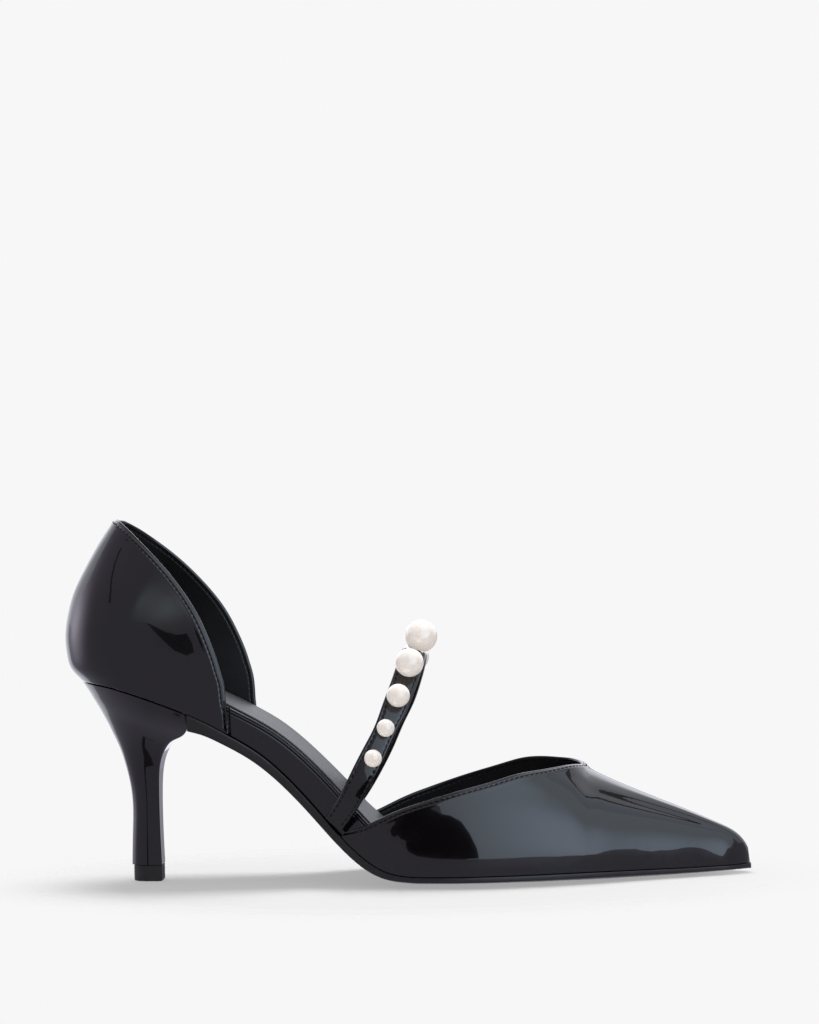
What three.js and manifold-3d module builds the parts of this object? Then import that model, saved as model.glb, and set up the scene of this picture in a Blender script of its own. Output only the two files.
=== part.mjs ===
// A right pump in two parts: pointed vamp and heel counter, open at the waist, with a pearl strap.
// Millimetres, +Z up, +X towards the toe, +Y towards the inner side of the foot.
// The origin is the middle of the heel tip's face on the floor.
import * as THREE from 'three';
import { mergeVertices } from 'three/addons/utils/BufferGeometryUtils.js';
import Module from 'manifold-3d';

const wasm = await Module();
wasm.setup();

// Length and place of the shoe over its heel
const shoeLength = 243;          // back of the counter to the toe tip
const heelSetIn = 28.7;          // back of the counter to the middle of the heel tip
const heelHeight = 72;           // floor to the seat's back edge
const treadStart = 97;           // where the arch comes down to the flat tread
const treadLength = 52;          // flat part of the tread
const toeSpring = 1.4;           // how far the toe lifts off the floor
const breastReach = 17.1;        // heel's middle to the front of the heel seat

// Widths
const ballWidth = 76;
const seatWidth = 50;
const treadCrown = 1.4;          // how much higher the sole's edges lie than its middle
const treadFlatShare = 0.35;     // share of the half width that is flat across

// Sole and insole
const soleThickness = 2.6;
const soleEdge = 0.4;            // how far the sole stands out past the upper
const insoleThickness = 2.6;     // under the vamp
const insoleWall = 10.4;         // height of the wrapped side at the waist
const seatPad = 6.5;             // height of the insole inside the counter
const insoleRound = 2.2;         // rounding of the wrapped top edge
const innerWallShare = 0.88;     // the inner side's wall is a little lower
const sockThickness = 0.8;
const sockMargin = 1.1;          // the wrapped edge that stays bare beside the sock
const sockEnd = 176;             // where the sock ends under the vamp

// Upper
const upperWall = 1.6;
const fit = 0.3;                 // clearance between pieces that touch
const vampBack = 71.2;           // where the vamp's wings end
const throatPlace = 155.8;       // middle of the throat
const instepHeight = 40.4;       // floor to the top of the throat
const lastInstep = 79;           // the last's own height over the ends of the wings
const counterHeight = 58;        // seat to the peak of the counter
const counterPeakIn = 19.3;      // how far the peak leans in over the fullest point of the back
const outerReach = 40.5;         // peak to the counter's front edge, outer side
const innerReach = 46.5;         // peak to the counter's front edge, inner side

// Heel
const tipLength = 10.5;
const tipWidth = 9.6;
const tipHeight = 5.6;
const heelEndMargin = 0.5;       // how far the covered heel stands out past its tip

// Strap and pearls
const strapWidth = 9.2;
const strapEndWidth = 7.6;       // where it is tucked in
const strapThickness = 2.4;
const strapFoot = 67.2;          // where its ends meet the feather line
const strapTopPlace = 96.1;      // middle of the strap on top of the instep
const strapTopHeight = 80;
const strapHalfSpan = 30;
const strapShoulder = 35;        // height at which the legs turn into the arch
const pearlDiameters = [12, 10.5, 8.5, 6.5, 6.5];
const pearlGap = 3.7;            // bare strap between two pearls
const pearlFlatShare = 0.07;     // height of the flat ground off each pearl, of its diameter

const backX = -heelSetIn;
const toeX = shoeLength - heelSetIn;
const treadEnd = treadStart + treadLength;
const seatBackX = -22.8 * heelSetIn / 28.7;
const archLength = treadStart - seatBackX;
const archRise = heelHeight - soleThickness;

// A natural cubic spline through the named columns of a table.
function spline(rows, key, value, scaleKey = 1, scaleValue = 1, shift = 0) {
  const x = rows.map((row) => row[key] * scaleKey + shift);
  const y = rows.map((row) => row[value] * scaleValue);
  const n = x.length;
  const second = new Array(n).fill(0);
  const work = new Array(n).fill(0);
  for (let i = 1; i < n - 1; i++) {
    const share = (x[i] - x[i - 1]) / (x[i + 1] - x[i - 1]);
    const p = share * second[i - 1] + 2;
    second[i] = (share - 1) / p;
    const bend = (y[i + 1] - y[i]) / (x[i + 1] - x[i]) - (y[i] - y[i - 1]) / (x[i] - x[i - 1]);
    work[i] = (6 * bend / (x[i + 1] - x[i - 1]) - share * work[i - 1]) / p;
  }
  for (let i = n - 2; i >= 0; i--) second[i] = second[i] * second[i + 1] + work[i];
  return (at) => {
    const c = Math.min(Math.max(at, x[0]), x[n - 1]);
    let i = 0;
    while (i < n - 2 && c > x[i + 1]) i++;
    const h = x[i + 1] - x[i];
    const a = (x[i + 1] - c) / h;
    const b = (c - x[i]) / h;
    const curve = ((a * a * a - a) * second[i] + (b * b * b - b) * second[i + 1]) * h * h / 6;
    return a * y[i] + b * y[i + 1] + curve;
  };
}

const clamp01 = (value) => Math.min(Math.max(value, 0), 1);
const ease = (value) => clamp01(value) ** 2 * (3 - 2 * clamp01(value));
const mix = (a, b, share) => a + (b - a) * share;

// Profile of the last's underside. back: share of the arch's length behind the tread;
// rise: share of the height from the tread to the seat.
const archRows = [
  { back: 0, rise: 0 },
  { back: 0.042, rise: 0.006 },
  { back: 0.092, rise: 0.028 },
  { back: 0.159, rise: 0.1 },
  { back: 0.225, rise: 0.206 },
  { back: 0.292, rise: 0.333 },
  { back: 0.376, rise: 0.489 },
  { back: 0.459, rise: 0.622 },
  { back: 0.543, rise: 0.722 },
  { back: 0.626, rise: 0.806 },
  { back: 0.71, rise: 0.87 },
  { back: 0.81, rise: 0.935 },
  { back: 0.91, rise: 0.984 },
  { back: 1, rise: 1 },
];
const archCurve = spline(archRows, 'back', 'rise', archLength, archRise);

// Thickness of the sole and height of the insole along the shoe. at: share of the length.
const thicknessRows = [
  { at: 0.188, sole: 2.05, insole: 0.78 },
  { at: 0.205, sole: 1.78, insole: 0.82 },
  { at: 0.235, sole: 1.5, insole: 0.86 },
  { at: 0.29, sole: 1.32, insole: 0.92 },
  { at: 0.35, sole: 1.12, insole: 0.98 },
  { at: 0.42, sole: 1.02, insole: 1 },
  { at: 0.46, sole: 1, insole: 0.94 },
  { at: 0.5, sole: 1, insole: 0.74 },
  { at: 0.55, sole: 1, insole: 0.47 },
  { at: 0.62, sole: 1, insole: 0.3 },
  { at: 0.75, sole: 0.98, insole: 0.25 },
  { at: 1, sole: 0.74, insole: 0.25 },
];
const soleShare = spline(thicknessRows, 'at', 'sole', shoeLength, 1, backX);
const wallShare = spline(thicknessRows, 'at', 'insole', shoeLength, 1, backX);

// The sole keeps its full thickness over the flat tread.
function soleAt(x) {
  if (x >= treadStart && x <= treadEnd) return soleThickness;
  return soleThickness * soleShare(x);
}

function insoleAt(x) {
  const atBreast = insoleWall * wallShare(breastReach);
  if (x < breastReach) return mix(seatPad, atBreast, ease((x - backX) / (breastReach - backX)));
  const wall = insoleWall * wallShare(x);
  return mix(wall, insoleThickness, ease((x - treadStart) / (treadLength / 2)));
}

// Height of the sole's upper face on the middle line.
function bedHeight(x) {
  const toeShare = Math.max(0, (x - treadEnd) / (toeX - treadEnd));
  if (x >= treadStart) return soleAt(x) + toeSpring * toeShare ** 2;
  return soleThickness + archCurve(treadStart - x);
}

function bedNormal(x) {
  const step = 0.5;
  const slope = (bedHeight(x + step) - bedHeight(x - step)) / (2 * step);
  const size = Math.hypot(1, slope);
  if (x > treadStart) return { x: 0, z: 1 };
  return { x: -slope / size, z: 1 / size };
}

function crownAt(x) {
  const fromSeat = ease((x - breastReach) / (treadStart - breastReach) * 2.2);
  return treadCrown * fromSeat * (1 - ease((x - treadEnd) / (toeX - treadEnd)));
}

const crownShape = (q) => Math.max(0, (Math.abs(q) - treadFlatShare) / (1 - treadFlatShare)) ** 2;

// The counter's own form. height: share of its height over the seat's back; back: how far the back
// lies in from the fullest point; half: half width, of half the seat; side: where the round back
// turns into the straight sides, of the seat's width.
const counterRows = [
  { height: -0.33, back: 0.3, half: 0.99, side: 0.615 },
  { height: -0.12, back: 0.3, half: 0.995, side: 0.612 },
  { height: 0, back: 0.3, half: 1, side: 0.6 },
  { height: 0.035, back: 0.2, half: 1.006, side: 0.59 },
  { height: 0.08, back: 0.093, half: 1.012, side: 0.575 },
  { height: 0.15, back: 0.03, half: 1.02, side: 0.555 },
  { height: 0.27, back: 0, half: 1.015, side: 0.54 },
  { height: 0.42, back: 0.062, half: 0.98, side: 0.56 },
  { height: 0.56, back: 0.187, half: 0.905, side: 0.625 },
  { height: 0.7, back: 0.4, half: 0.805, side: 0.715 },
  { height: 0.85, back: 0.665, half: 0.68, side: 0.815 },
  { height: 1, back: 0.985, half: 0.54, side: 0.925 },
];
const counterBack = spline(counterRows, 'height', 'back', counterHeight, counterPeakIn, heelHeight);
const counterHalf = spline(counterRows, 'height', 'half', counterHeight, seatWidth / 2, heelHeight);
const counterSide = spline(counterRows, 'height', 'side', counterHeight, seatWidth, heelHeight);

// turn runs from 0 at the back to 1 at the side and on past it along the straight.
function counterPoint(turn, z, side) {
  const angle = Math.min(turn, 1) * Math.PI / 2;
  const depth = counterSide(z) - counterBack(z);
  const along = depth * (1 - Math.cos(angle)) + Math.max(0, turn - 1) * seatWidth;
  return new THREE.Vector3(backX + counterBack(z) + along, side * counterHalf(z) * Math.sin(angle), z);
}

function counterTurn(x, z) {
  const along = Math.max(0, x - backX - counterBack(z));
  const depth = counterSide(z) - counterBack(z);
  if (along > depth) return 1 + (along - depth) / seatWidth;
  return Math.acos(1 - along / depth) / (Math.PI / 2);
}

// Plan of the sole in front of the seat. at: share of the length; half: half width and
// middle: place of the middle line, both of the ball's width.
const planRows = [
  { at: 0.188, half: 0.3275, middle: 0 },
  { at: 0.246, half: 0.325, middle: -0.003 },
  { at: 0.283, half: 0.312, middle: -0.004 },
  { at: 0.324, half: 0.301, middle: -0.003 },
  { at: 0.365, half: 0.312, middle: -0.004 },
  { at: 0.406, half: 0.352, middle: -0.009 },
  { at: 0.439, half: 0.395, middle: -0.012 },
  { at: 0.472, half: 0.432, middle: -0.01 },
  { at: 0.513, half: 0.468, middle: -0.008 },
  { at: 0.554, half: 0.491, middle: -0.004 },
  { at: 0.595, half: 0.499, middle: 0.004 },
  { at: 0.641, half: 0.486, middle: 0.013 },
  { at: 0.711, half: 0.43, middle: 0.021 },
  { at: 0.781, half: 0.345, middle: 0.029 },
  { at: 0.838, half: 0.26, middle: 0.039 },
  { at: 0.9, half: 0.175, middle: 0.05 },
  { at: 0.941, half: 0.12, middle: 0.058 },
  { at: 1, half: 0.058, middle: 0.07 },
];
const planHalf = spline(planRows, 'at', 'half', shoeLength, ballWidth, backX);
const planMiddle = spline(planRows, 'at', 'middle', shoeLength, ballWidth, backX);
const noseStart = toeX - 0.037 * shoeLength;

// Rounding of the toe: 1 behind the nose, 0 at its tip.
function noseShare(x, power) {
  const share = clamp01((x - noseStart) / (toeX - noseStart));
  return Math.max(0, 1 - share ** power) ** (1 / power);
}

function halfWidth(x) {
  if (x >= breastReach) return planHalf(x) * noseShare(x, 2);
  const z = bedHeight(x);
  return counterPoint(counterTurn(x, z), z, 1).y;
}

const middleLine = (x) => (x >= breastReach ? planMiddle(x) : 0);

// A point over the sole's upper face. q: -1 at the outer edge, 1 at the inner; inset: how far the
// piece's outline keeps inside the upper's; lift: height square to the sole.
function overBed(x, q, lift, inset = 0, source = x, upright = 0) {
  const half = halfWidth(source);
  const y = middleLine(source) + q * (half - inset * Math.min(1, half / 10));
  const normal = bedNormal(x);
  const lean = normal.x * (1 - upright);
  const rise = mix(normal.z, 1 / normal.z, upright);
  const z = bedHeight(x) + crownAt(source) * crownShape(q) + lift * rise;
  return new THREE.Vector3(x + lift * lean, y, z);
}

// Closed meshes from rings and grids of points
function solidFromTriangles(corners) {
  const flat = [];
  for (const point of corners) flat.push(point.x, point.y, point.z);
  let geometry = new THREE.BufferGeometry();
  geometry.setAttribute('position', new THREE.Float32BufferAttribute(flat, 3));
  geometry = mergeVertices(geometry, 1e-3);
  const index = geometry.getIndex().array;
  const kept = [];
  for (let i = 0; i < index.length; i += 3) {
    const [a, b, c] = [index[i], index[i + 1], index[i + 2]];
    if (a !== b && b !== c && c !== a) kept.push(a, b, c);
  }
  geometry.setIndex(kept);
  geometry.computeVertexNormals();
  return geometry;
}

// Rings of equal count, joined in turn and closed at both ends with strips across.
function loft(rings) {
  const corners = [];
  const count = rings[0].length;
  for (let i = 0; i < rings.length - 1; i++) {
    for (let j = 0; j < count; j++) {
      const k = (j + 1) % count;
      corners.push(rings[i][j], rings[i][k], rings[i + 1][k]);
      corners.push(rings[i][j], rings[i + 1][k], rings[i + 1][j]);
    }
  }
  const cap = (ring, flip) => {
    for (let j = 0; j < count / 2 - 1; j++) {
      const strip = [ring[j], ring[j + 1], ring[count - 2 - j], ring[j], ring[count - 2 - j], ring[count - 1 - j]];
      corners.push(...(flip ? strip : strip.reverse()));
    }
  };
  const isPoint = (ring) => ring.every((point) => Math.abs(point.y - ring[0].y) < 1e-3);
  if (!isPoint(rings[0])) cap(rings[0], false);
  if (!isPoint(rings[rings.length - 1])) cap(rings[rings.length - 1], true);
  return solidFromTriangles(corners);
}

// A wall between an outer and an inner grid. cell(i, j) says solid, open or seam, where two
// columns lie on each other.
function wall(outer, inner, cell) {
  const corners = [];
  const rows = outer.length - 1;
  const columns = outer[0].length - 1;
  const state = (i, j) => (i < 0 || j < 0 || i >= rows || j >= columns ? 'open' : cell(i, j));
  const edge = (i, j, k, l) => {
    corners.push(outer[i][j], inner[k][l], inner[i][j]);
    corners.push(outer[i][j], outer[k][l], inner[k][l]);
  };
  for (let i = 0; i < rows; i++) {
    for (let j = 0; j < columns; j++) {
      if (state(i, j) !== 'solid') continue;
      corners.push(outer[i][j], outer[i + 1][j], outer[i + 1][j + 1]);
      corners.push(outer[i][j], outer[i + 1][j + 1], outer[i][j + 1]);
      corners.push(inner[i][j], inner[i + 1][j + 1], inner[i + 1][j]);
      corners.push(inner[i][j], inner[i][j + 1], inner[i + 1][j + 1]);
      if (state(i - 1, j) === 'open') edge(i, j, i, j + 1);
      if (state(i + 1, j) === 'open') edge(i + 1, j + 1, i + 1, j);
      if (state(i, j - 1) === 'open') edge(i + 1, j, i, j);
      if (state(i, j + 1) === 'open') edge(i, j + 1, i + 1, j + 1);
    }
  }
  return solidFromTriangles(corners);
}

// One closed mesh with another cut away from it.
function cutAway(body, tool) {
  const solid = (geometry) => new wasm.Manifold(new wasm.Mesh({
    numProp: 3,
    vertProperties: new Float32Array(geometry.getAttribute('position').array),
    triVerts: new Uint32Array(geometry.getIndex().array),
  }));
  const left = solid(body).subtract(solid(tool)).getMesh();
  const geometry = new THREE.BufferGeometry();
  geometry.setAttribute('position', new THREE.Float32BufferAttribute(left.vertProperties, 3));
  geometry.setIndex(Array.from(left.triVerts));
  geometry.computeVertexNormals();
  return geometry;
}

// Places from start to end, closer together at a rounded end.
function stations(start, end, count, roundStart, roundEnd) {
  const places = [];
  for (let i = 0; i <= count; i++) {
    const share = i / count;
    const early = 1 - Math.cos(share * Math.PI / 2);
    const late = Math.sin(share * Math.PI / 2);
    let place = share;
    if (roundStart && roundEnd) place = mix(share, (1 - Math.cos(share * Math.PI)) / 2, 0.75);
    else if (roundStart) place = mix(share, early, 0.8);
    else if (roundEnd) place = mix(share, late, 0.8);
    places.push(mix(start, end, place));
  }
  return places;
}

// The places of a piece whose outline lies inside the upper's, with the place on the upper's own
// outline that each follows.
function insetStations(count, inset, end) {
  const start = seatBackX + inset;
  return stations(start, end, count, true, true).map((x) => {
    const share = (x - start) / (end - start);
    return { x, source: mix(x - inset, x + (toeX - end) * ease((share - 0.9) * 10), share) };
  });
}

const range = (count) => Array.from({ length: count + 1 }, (_, i) => i / count);

// Outsole: from the heel's breast to the toe, thicker towards the heel
function makeOutsole() {
  const across = range(10).map((share) => share * 2 - 1);
  const start = breastReach + fit;
  const end = toeX + soleEdge;
  const rings = stations(start, end, 34, false, true).map((x) => {
    const source = Math.min(mix(x, x - soleEdge, ease((x - treadEnd) / (toeX - treadEnd))), toeX);
    const upright = 1 - ease((x - start) / 10);
    const thickness = soleAt(x);
    const top = across.map((q) => overBed(x, q, 0, -soleEdge, source, upright));
    const bottom = across.map((q) => overBed(x, q, -thickness, -soleEdge, source, upright));
    return [...bottom, ...top.reverse()];
  });
  return loft(rings);
}

// Insole: a wrapped unit with a tall side at the waist, a thin board under the vamp
const boardClearance = upperWall + 2 * fit;

// The board lies inside the vamp's wall; at the waist its wrapped side is flush with the upper.
function insolePoint(x, source, q, lift) {
  const inVamp = ease((x - strapFoot + upperWall) / (vampBack - strapFoot));
  return overBed(x, q, lift, boardClearance * inVamp, source);
}

// Height of the insole at q across: a little lower on the inner side of the waist.
function insoleTop(x, q) {
  const tall = insoleAt(x);
  const wallPart = ease((tall - insoleThickness) / insoleThickness);
  return tall * mix(1, innerWallShare, ease((q + 1) / 2) * wallPart);
}

const insoleStations = insetStations(36, 0, toeX - 3 * upperWall);
const insoleCore = 0.6;

// The share of the half width that the wrapped edge's rounding takes.
function insoleRoundShare(x, source) {
  const round = Math.min(insoleRound, insoleAt(x) * 0.4);
  return Math.min(1 - insoleCore - 0.05, round / Math.max(halfWidth(source), 0.001));
}

function makeInsole() {
  const across = [-1, -0.8, -insoleCore, 0, insoleCore, 0.8, 1];
  const rings = insoleStations.map(({ x, source }) => {
    const round = Math.min(insoleRound, insoleAt(x) * 0.4);
    const roundShare = insoleRoundShare(x, source);
    const bottom = across.map((q) => insolePoint(x, source, q, fit));
    const side = (sign) => [
      insolePoint(x, source, sign, insoleTop(x, sign) * 0.5),
      insolePoint(x, source, sign, insoleTop(x, sign) - round),
      insolePoint(x, source, sign * (1 - roundShare * 0.3), insoleTop(x, sign) - round * 0.3),
    ];
    const topShares = [1 - roundShare, insoleCore, 0, -insoleCore, roundShare - 1];
    const top = topShares.map((q) => insolePoint(x, source, q, insoleTop(x, q)));
    return [...bottom, ...side(1), ...top, ...side(-1).reverse()];
  });
  const besideCounter = cutAway(loft(rings), makeCounter(-boardClearance, upperWall + fit, fit));
  return cutAway(besideCounter, makeVamp(-boardClearance, upperWall + fit, fit));
}

// Sock lining: a thin sheet on the insole, with the wrapped edge bare beside it
function makeSock() {
  const margin = sockMargin + insoleRound / 2;
  const inCounter = (x) => boardClearance * (1 - ease((x - breastReach) / (seatWidth / 2)));
  const start = seatBackX + margin + boardClearance;
  const kept = insoleStations.filter(({ x }) => x > start + fit && x < sockEnd - fit);
  const first = { x: start, source: mix(seatBackX, start, 0.3) };
  const last = { x: sockEnd, source: sockEnd };
  const rings = [first, ...kept, last].map(({ x, source }) => {
    const half = halfWidth(source);
    const behind = (seatWidth / 2 - x + start) / (seatWidth / 2);
    const inset = margin + inCounter(x);
    const roundBack = (seatWidth / 2 - inset) * Math.sqrt(1 - clamp01(behind) ** 2);
    const outline = behind > 0 ? Math.min(half - inset, roundBack) : half - inset;
    const edge = Math.max(outline, 0) / half;
    const core = Math.min(insoleCore, edge * 0.7);
    const place = (q, lift) => insolePoint(x, source, q, insoleTop(x, q) + fit + lift);
    const across = [-edge, -core, 0, core, edge];
    const bottom = across.map((q) => place(q, 0));
    const top = across.map((q) => place(q, sockThickness));
    return [...bottom, ...top.reverse()];
  });
  return loft(rings);
}

// Vamp: the last's own surface from the feather line to the ridge.
// Height of the ridge over the floor, of the instep's height, from the throat to the toe.
const toeRows = [
  { along: 0, rise: 1 },
  { along: 0.035, rise: 0.945 },
  { along: 0.085, rise: 0.9 },
  { along: 0.16, rise: 0.848 },
  { along: 0.3, rise: 0.758 },
  { along: 0.45, rise: 0.667 },
  { along: 0.6, rise: 0.577 },
  { along: 0.75, rise: 0.482 },
  { along: 0.88, rise: 0.394 },
  { along: 1, rise: 0.3 },
];
const toeRidge = spline(toeRows, 'along', 'rise', toeX - throatPlace, instepHeight, throatPlace);
// Height of the last over the open instep, between the throat and the ends of the wings.
const instepRows = [
  { back: 0, rise: 0 },
  { back: 0.035, rise: 0.073 },
  { back: 0.095, rise: 0.165 },
  { back: 0.175, rise: 0.29 },
  { back: 0.34, rise: 0.485 },
  { back: 0.5, rise: 0.635 },
  { back: 0.67, rise: 0.77 },
  { back: 1, rise: 1 },
];
const instepRidge = spline(instepRows, 'back', 'rise', throatPlace - vampBack, lastInstep - instepHeight);

function ridgeHeight(x) {
  if (x < throatPlace) return instepHeight + instepRidge(throatPlace - x);
  return toeRidge(x);
}

function featherHeight(x) {
  return bedHeight(x) + crownAt(x) + fit / bedNormal(x).z;
}

// angle: 0 at the feather line, a quarter turn at the ridge; side: -1 outer, 1 inner.
function vampPoint(x, angle, side, below = 0) {
  const foot = featherHeight(x) - below;
  const rise = (ridgeHeight(x) - foot) * noseShare(x, 3);
  const y = middleLine(x) + side * halfWidth(x) * Math.cos(angle);
  return new THREE.Vector3(x, y, foot + rise * Math.sin(angle));
}

// Where the topline cuts the last: back is the root of the share of the way from the throat to the
// wings' ends, cut the share of the quarter turn that is cut away.
const toplineRows = [
  { back: 0, outer: 0, inner: 0 },
  { back: 0.19, outer: 0.222, inner: 0.23 },
  { back: 0.31, outer: 0.35, inner: 0.352 },
  { back: 0.42, outer: 0.468, inner: 0.455 },
  { back: 0.51, outer: 0.543, inner: 0.526 },
  { back: 0.6, outer: 0.618, inner: 0.6 },
  { back: 0.71, outer: 0.693, inner: 0.683 },
  { back: 0.82, outer: 0.762, inner: 0.758 },
  { back: 0.91, outer: 0.836, inner: 0.834 },
  { back: 0.96, outer: 0.912, inner: 0.912 },
  { back: 1, outer: 0.985, inner: 0.985 },
];
const outerCut = spline(toplineRows, 'back', 'outer');
const innerCut = spline(toplineRows, 'back', 'inner');

function toplineAngle(x, side) {
  if (x >= throatPlace) return Math.PI / 2;
  const back = Math.sqrt((throatPlace - x) / (throatPlace - vampBack));
  const cut = side < 0 ? outerCut(back) : innerCut(back);
  return (1 - cut) * Math.PI / 2;
}

// The same point moved in, square to the surface, by the wall's thickness.
function movedIn(surface, a, b, distance) {
  const step = 1e-3;
  const alongA = surface(a + step, b).sub(surface(a - step, b));
  const alongB = surface(a, b + step).sub(surface(a, b - step));
  const normal = alongA.cross(alongB).normalize();
  return surface(a, b).addScaledVector(normal, distance);
}

// near and far are how far its faces lie in from the last's own surface, and beyond is how far
// its wings and its lower edge reach past their places.
function makeVamp(near = 0, far = upperWall, beyond = 0) {
  const perSide = 9;
  const wingEnd = vampBack - beyond;
  const backPlaces = stations(0, 1, 15, true, false).map((s) => mix(throatPlace, wingEnd, s)).reverse();
  const frontPlaces = stations(throatPlace, toeX, 17, false, true);
  const places = [...backPlaces, ...frontPlaces.slice(1)];
  const lastRow = places.length - 1;
  const outer = [];
  const inner = [];
  places.forEach((x, row) => {
    const outerRow = [];
    const innerRow = [];
    const isTip = row === lastRow;
    const at = Math.min(x, toeX - 0.05);
    for (const side of [-1, 1]) {
      const top = Math.min(toplineAngle(x, side) + 2 * beyond / lastInstep, Math.PI / 2);
      const shares = range(perSide);
      if (side > 0) shares.reverse();
      for (const share of shares) {
        const angle = share * top;
        const surface = (a, b) => vampPoint(a, b, side, 2 * beyond);
        for (const [face, distance] of [[outerRow, near], [innerRow, far]]) {
          const tip = new THREE.Vector3(toeX - distance, middleLine(toeX), featherHeight(toeX) - 2 * beyond);
          face.push(isTip ? tip : movedIn(surface, at, angle, side * distance));
        }
      }
    }
    if (x >= throatPlace) {
      outerRow[perSide + 1].copy(outerRow[perSide]);
      innerRow[perSide + 1].copy(innerRow[perSide]);
    }
    outer.push(outerRow);
    inner.push(innerRow);
  });
  const throatRow = backPlaces.length - 1;
  const cell = (i, j) => {
    if (j !== perSide) return 'solid';
    return i < throatRow ? 'open' : 'seam';
  };
  return wall(outer, inner, cell);
}

// Counter. drop: share of the counter's height below its peak; reach: share of the way from the
// peak to the front edge.
const counterTopRows = [
  { drop: 0, reach: 0 },
  { drop: 0.06, reach: 0.118 },
  { drop: 0.13, reach: 0.234 },
  { drop: 0.25, reach: 0.413 },
  { drop: 0.4, reach: 0.595 },
  { drop: 0.56, reach: 0.748 },
  { drop: 0.73, reach: 0.86 },
  { drop: 0.92, reach: 0.948 },
  { drop: 1.25, reach: 1 },
];
const counterTop = spline(counterTopRows, 'drop', 'reach', counterHeight);
const cornerDrop = 0.92 * counterHeight;

// near and far are how far its faces lie in from the last's own surface, and ahead is how far
// its front edges stand forward.
function makeCounter(near = 0, far = upperWall, ahead = 0) {
  const perSide = 13;
  const rowsUp = 8;
  const peakX = backX + counterPeakIn;
  const outer = [];
  const inner = [];
  for (let row = 0; row <= rowsUp; row++) {
    outer.push([]);
    inner.push([]);
  }
  const columns = [...range(perSide).reverse().map((s) => [s, -1]), ...range(perSide).slice(1).map((s) => [s, 1])];
  for (const [share, side] of columns) {
    const reach = (side < 0 ? outerReach : innerReach) + ahead;
    const footX = peakX + reach;
    const turnFront = counterTurn(footX, bedHeight(footX));
    const footTurn = turnFront * share;
    let footZ = heelHeight;
    for (let pass = 0; pass < 12; pass++) {
      const at = counterPoint(footTurn, footZ, side).x;
      footZ = bedHeight(at) + crownAt(at) + (fit - 2 * ahead) / bedNormal(at).z;
    }
    const drop = cornerDrop * share;
    const topZ = heelHeight + counterHeight - drop;
    const topTurn = counterTurn(peakX + reach * counterTop(drop), topZ);
    const surface = (turn, z) => counterPoint(turn, z, side);
    range(rowsUp).forEach((up, row) => {
      const turn = mix(footTurn, topTurn * ease(share * 100), up);
      const z = mix(footZ, topZ, up);
      const safe = Math.max(turn, 0.002);
      for (const [face, distance] of [[outer, near], [inner, far]]) {
        const point = movedIn(surface, safe, z, side * distance);
        if (share === 0) point.y = 0;
        face[row].push(point);
      }
    });
  }
  return wall(outer, inner, () => 'solid');
}

// Heel. level: share of the height between the tip and the seat; back, front: places along the
// shoe, of the seat's length behind and before the heel's middle; half: share of the way from the
// tip's half width to the seat's; round: how much of the section is the round back.
const heelRows = [
  { level: 0, back: 0.29, front: 0.31, half: 0, round: 0.62 },
  { level: 0.19, back: 0.272, front: 0.288, half: 0.01, round: 0.62 },
  { level: 0.33, back: 0.263, front: 0.281, half: 0.022, round: 0.62 },
  { level: 0.45, back: 0.295, front: 0.283, half: 0.05, round: 0.62 },
  { level: 0.56, back: 0.365, front: 0.303, half: 0.11, round: 0.62 },
  { level: 0.65, back: 0.445, front: 0.362, half: 0.2, round: 0.62 },
  { level: 0.725, back: 0.542, front: 0.474, half: 0.33, round: 0.62 },
  { level: 0.78, back: 0.617, front: 0.63, half: 0.46, round: 0.62 },
  { level: 0.82, back: 0.68, front: 0.82, half: 0.57, round: 0.62 },
  { level: 0.86, back: 0.745, front: 0.98, half: 0.69, round: 0.63 },
  { level: 0.93, back: 0.87, front: 1, half: 0.87, round: 0.65 },
  { level: 1, back: 1, front: 1, half: 1, round: 0.675 },
];
const heelBack = spline(heelRows, 'level', 'back', 1, -seatBackX);
const heelFront = spline(heelRows, 'level', 'front', 1, breastReach);
const heelHalf = spline(heelRows, 'level', 'half');
const heelRound = spline(heelRows, 'level', 'round');

// Outline of one section: a round back, straight sides and a flat front with small corners.
// Each point has its place along the section, 0 to 1, and its share of the half width.
function heelOutline(round) {
  const points = [];
  const steps = 8;
  for (let i = 0; i <= steps; i++) {
    const angle = i / steps * Math.PI / 2;
    points.push({ along: round * (1 - Math.cos(angle)), across: Math.sin(angle) });
  }
  const corner = 0.06;
  points.push({ along: mix(round, 1 - corner, 0.5), across: 1 });
  points.push({ along: 1 - corner, across: 1 });
  points.push({ along: 1, across: 1 - corner * 1.5 });
  const other = points.slice(1).map((point) => ({ along: point.along, across: -point.across }));
  return [...points, { along: 1, across: 0 }, ...other.reverse()];
}

function makeHeel() {
  const start = tipHeight + fit;
  const levels = [0, 0.1, 0.2, 0.3, 0.4, 0.5, 0.58, 0.65, 0.71, 0.76, 0.8, 0.84, 0.88, 0.94, 1];
  const tipHalf = tipWidth / 2 + heelEndMargin;
  const rings = levels.map((level) => {
    const back = -heelBack(level);
    const front = Math.min(heelFront(level), breastReach);
    return heelOutline(heelRound(level)).map(({ along, across }) => {
      const x = mix(back, front, along);
      const top = bedHeight(x);
      const seatHalf = Math.sign(across) * halfWidth(mix(seatBackX, breastReach, along));
      const shaftHalf = across * tipHalf;
      return new THREE.Vector3(x, mix(shaftHalf, seatHalf * (along > 0.99 ? Math.abs(across) : 1),
        clamp01(heelHalf(level))), mix(start, top, level));
    });
  });
  return loft(rings.reverse());
}

function makeTip() {
  const rings = [tipHeight, 0.35, 0].map((z) => heelOutline(0.62).map(({ along, across }) => {
    const inset = z === 0 ? 0.3 : 0;
    const x = mix(-tipLength / 2 + inset, tipLength / 2 - inset, along);
    return new THREE.Vector3(x, across * (tipWidth / 2 - inset), z);
  }));
  return loft(rings);
}

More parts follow.
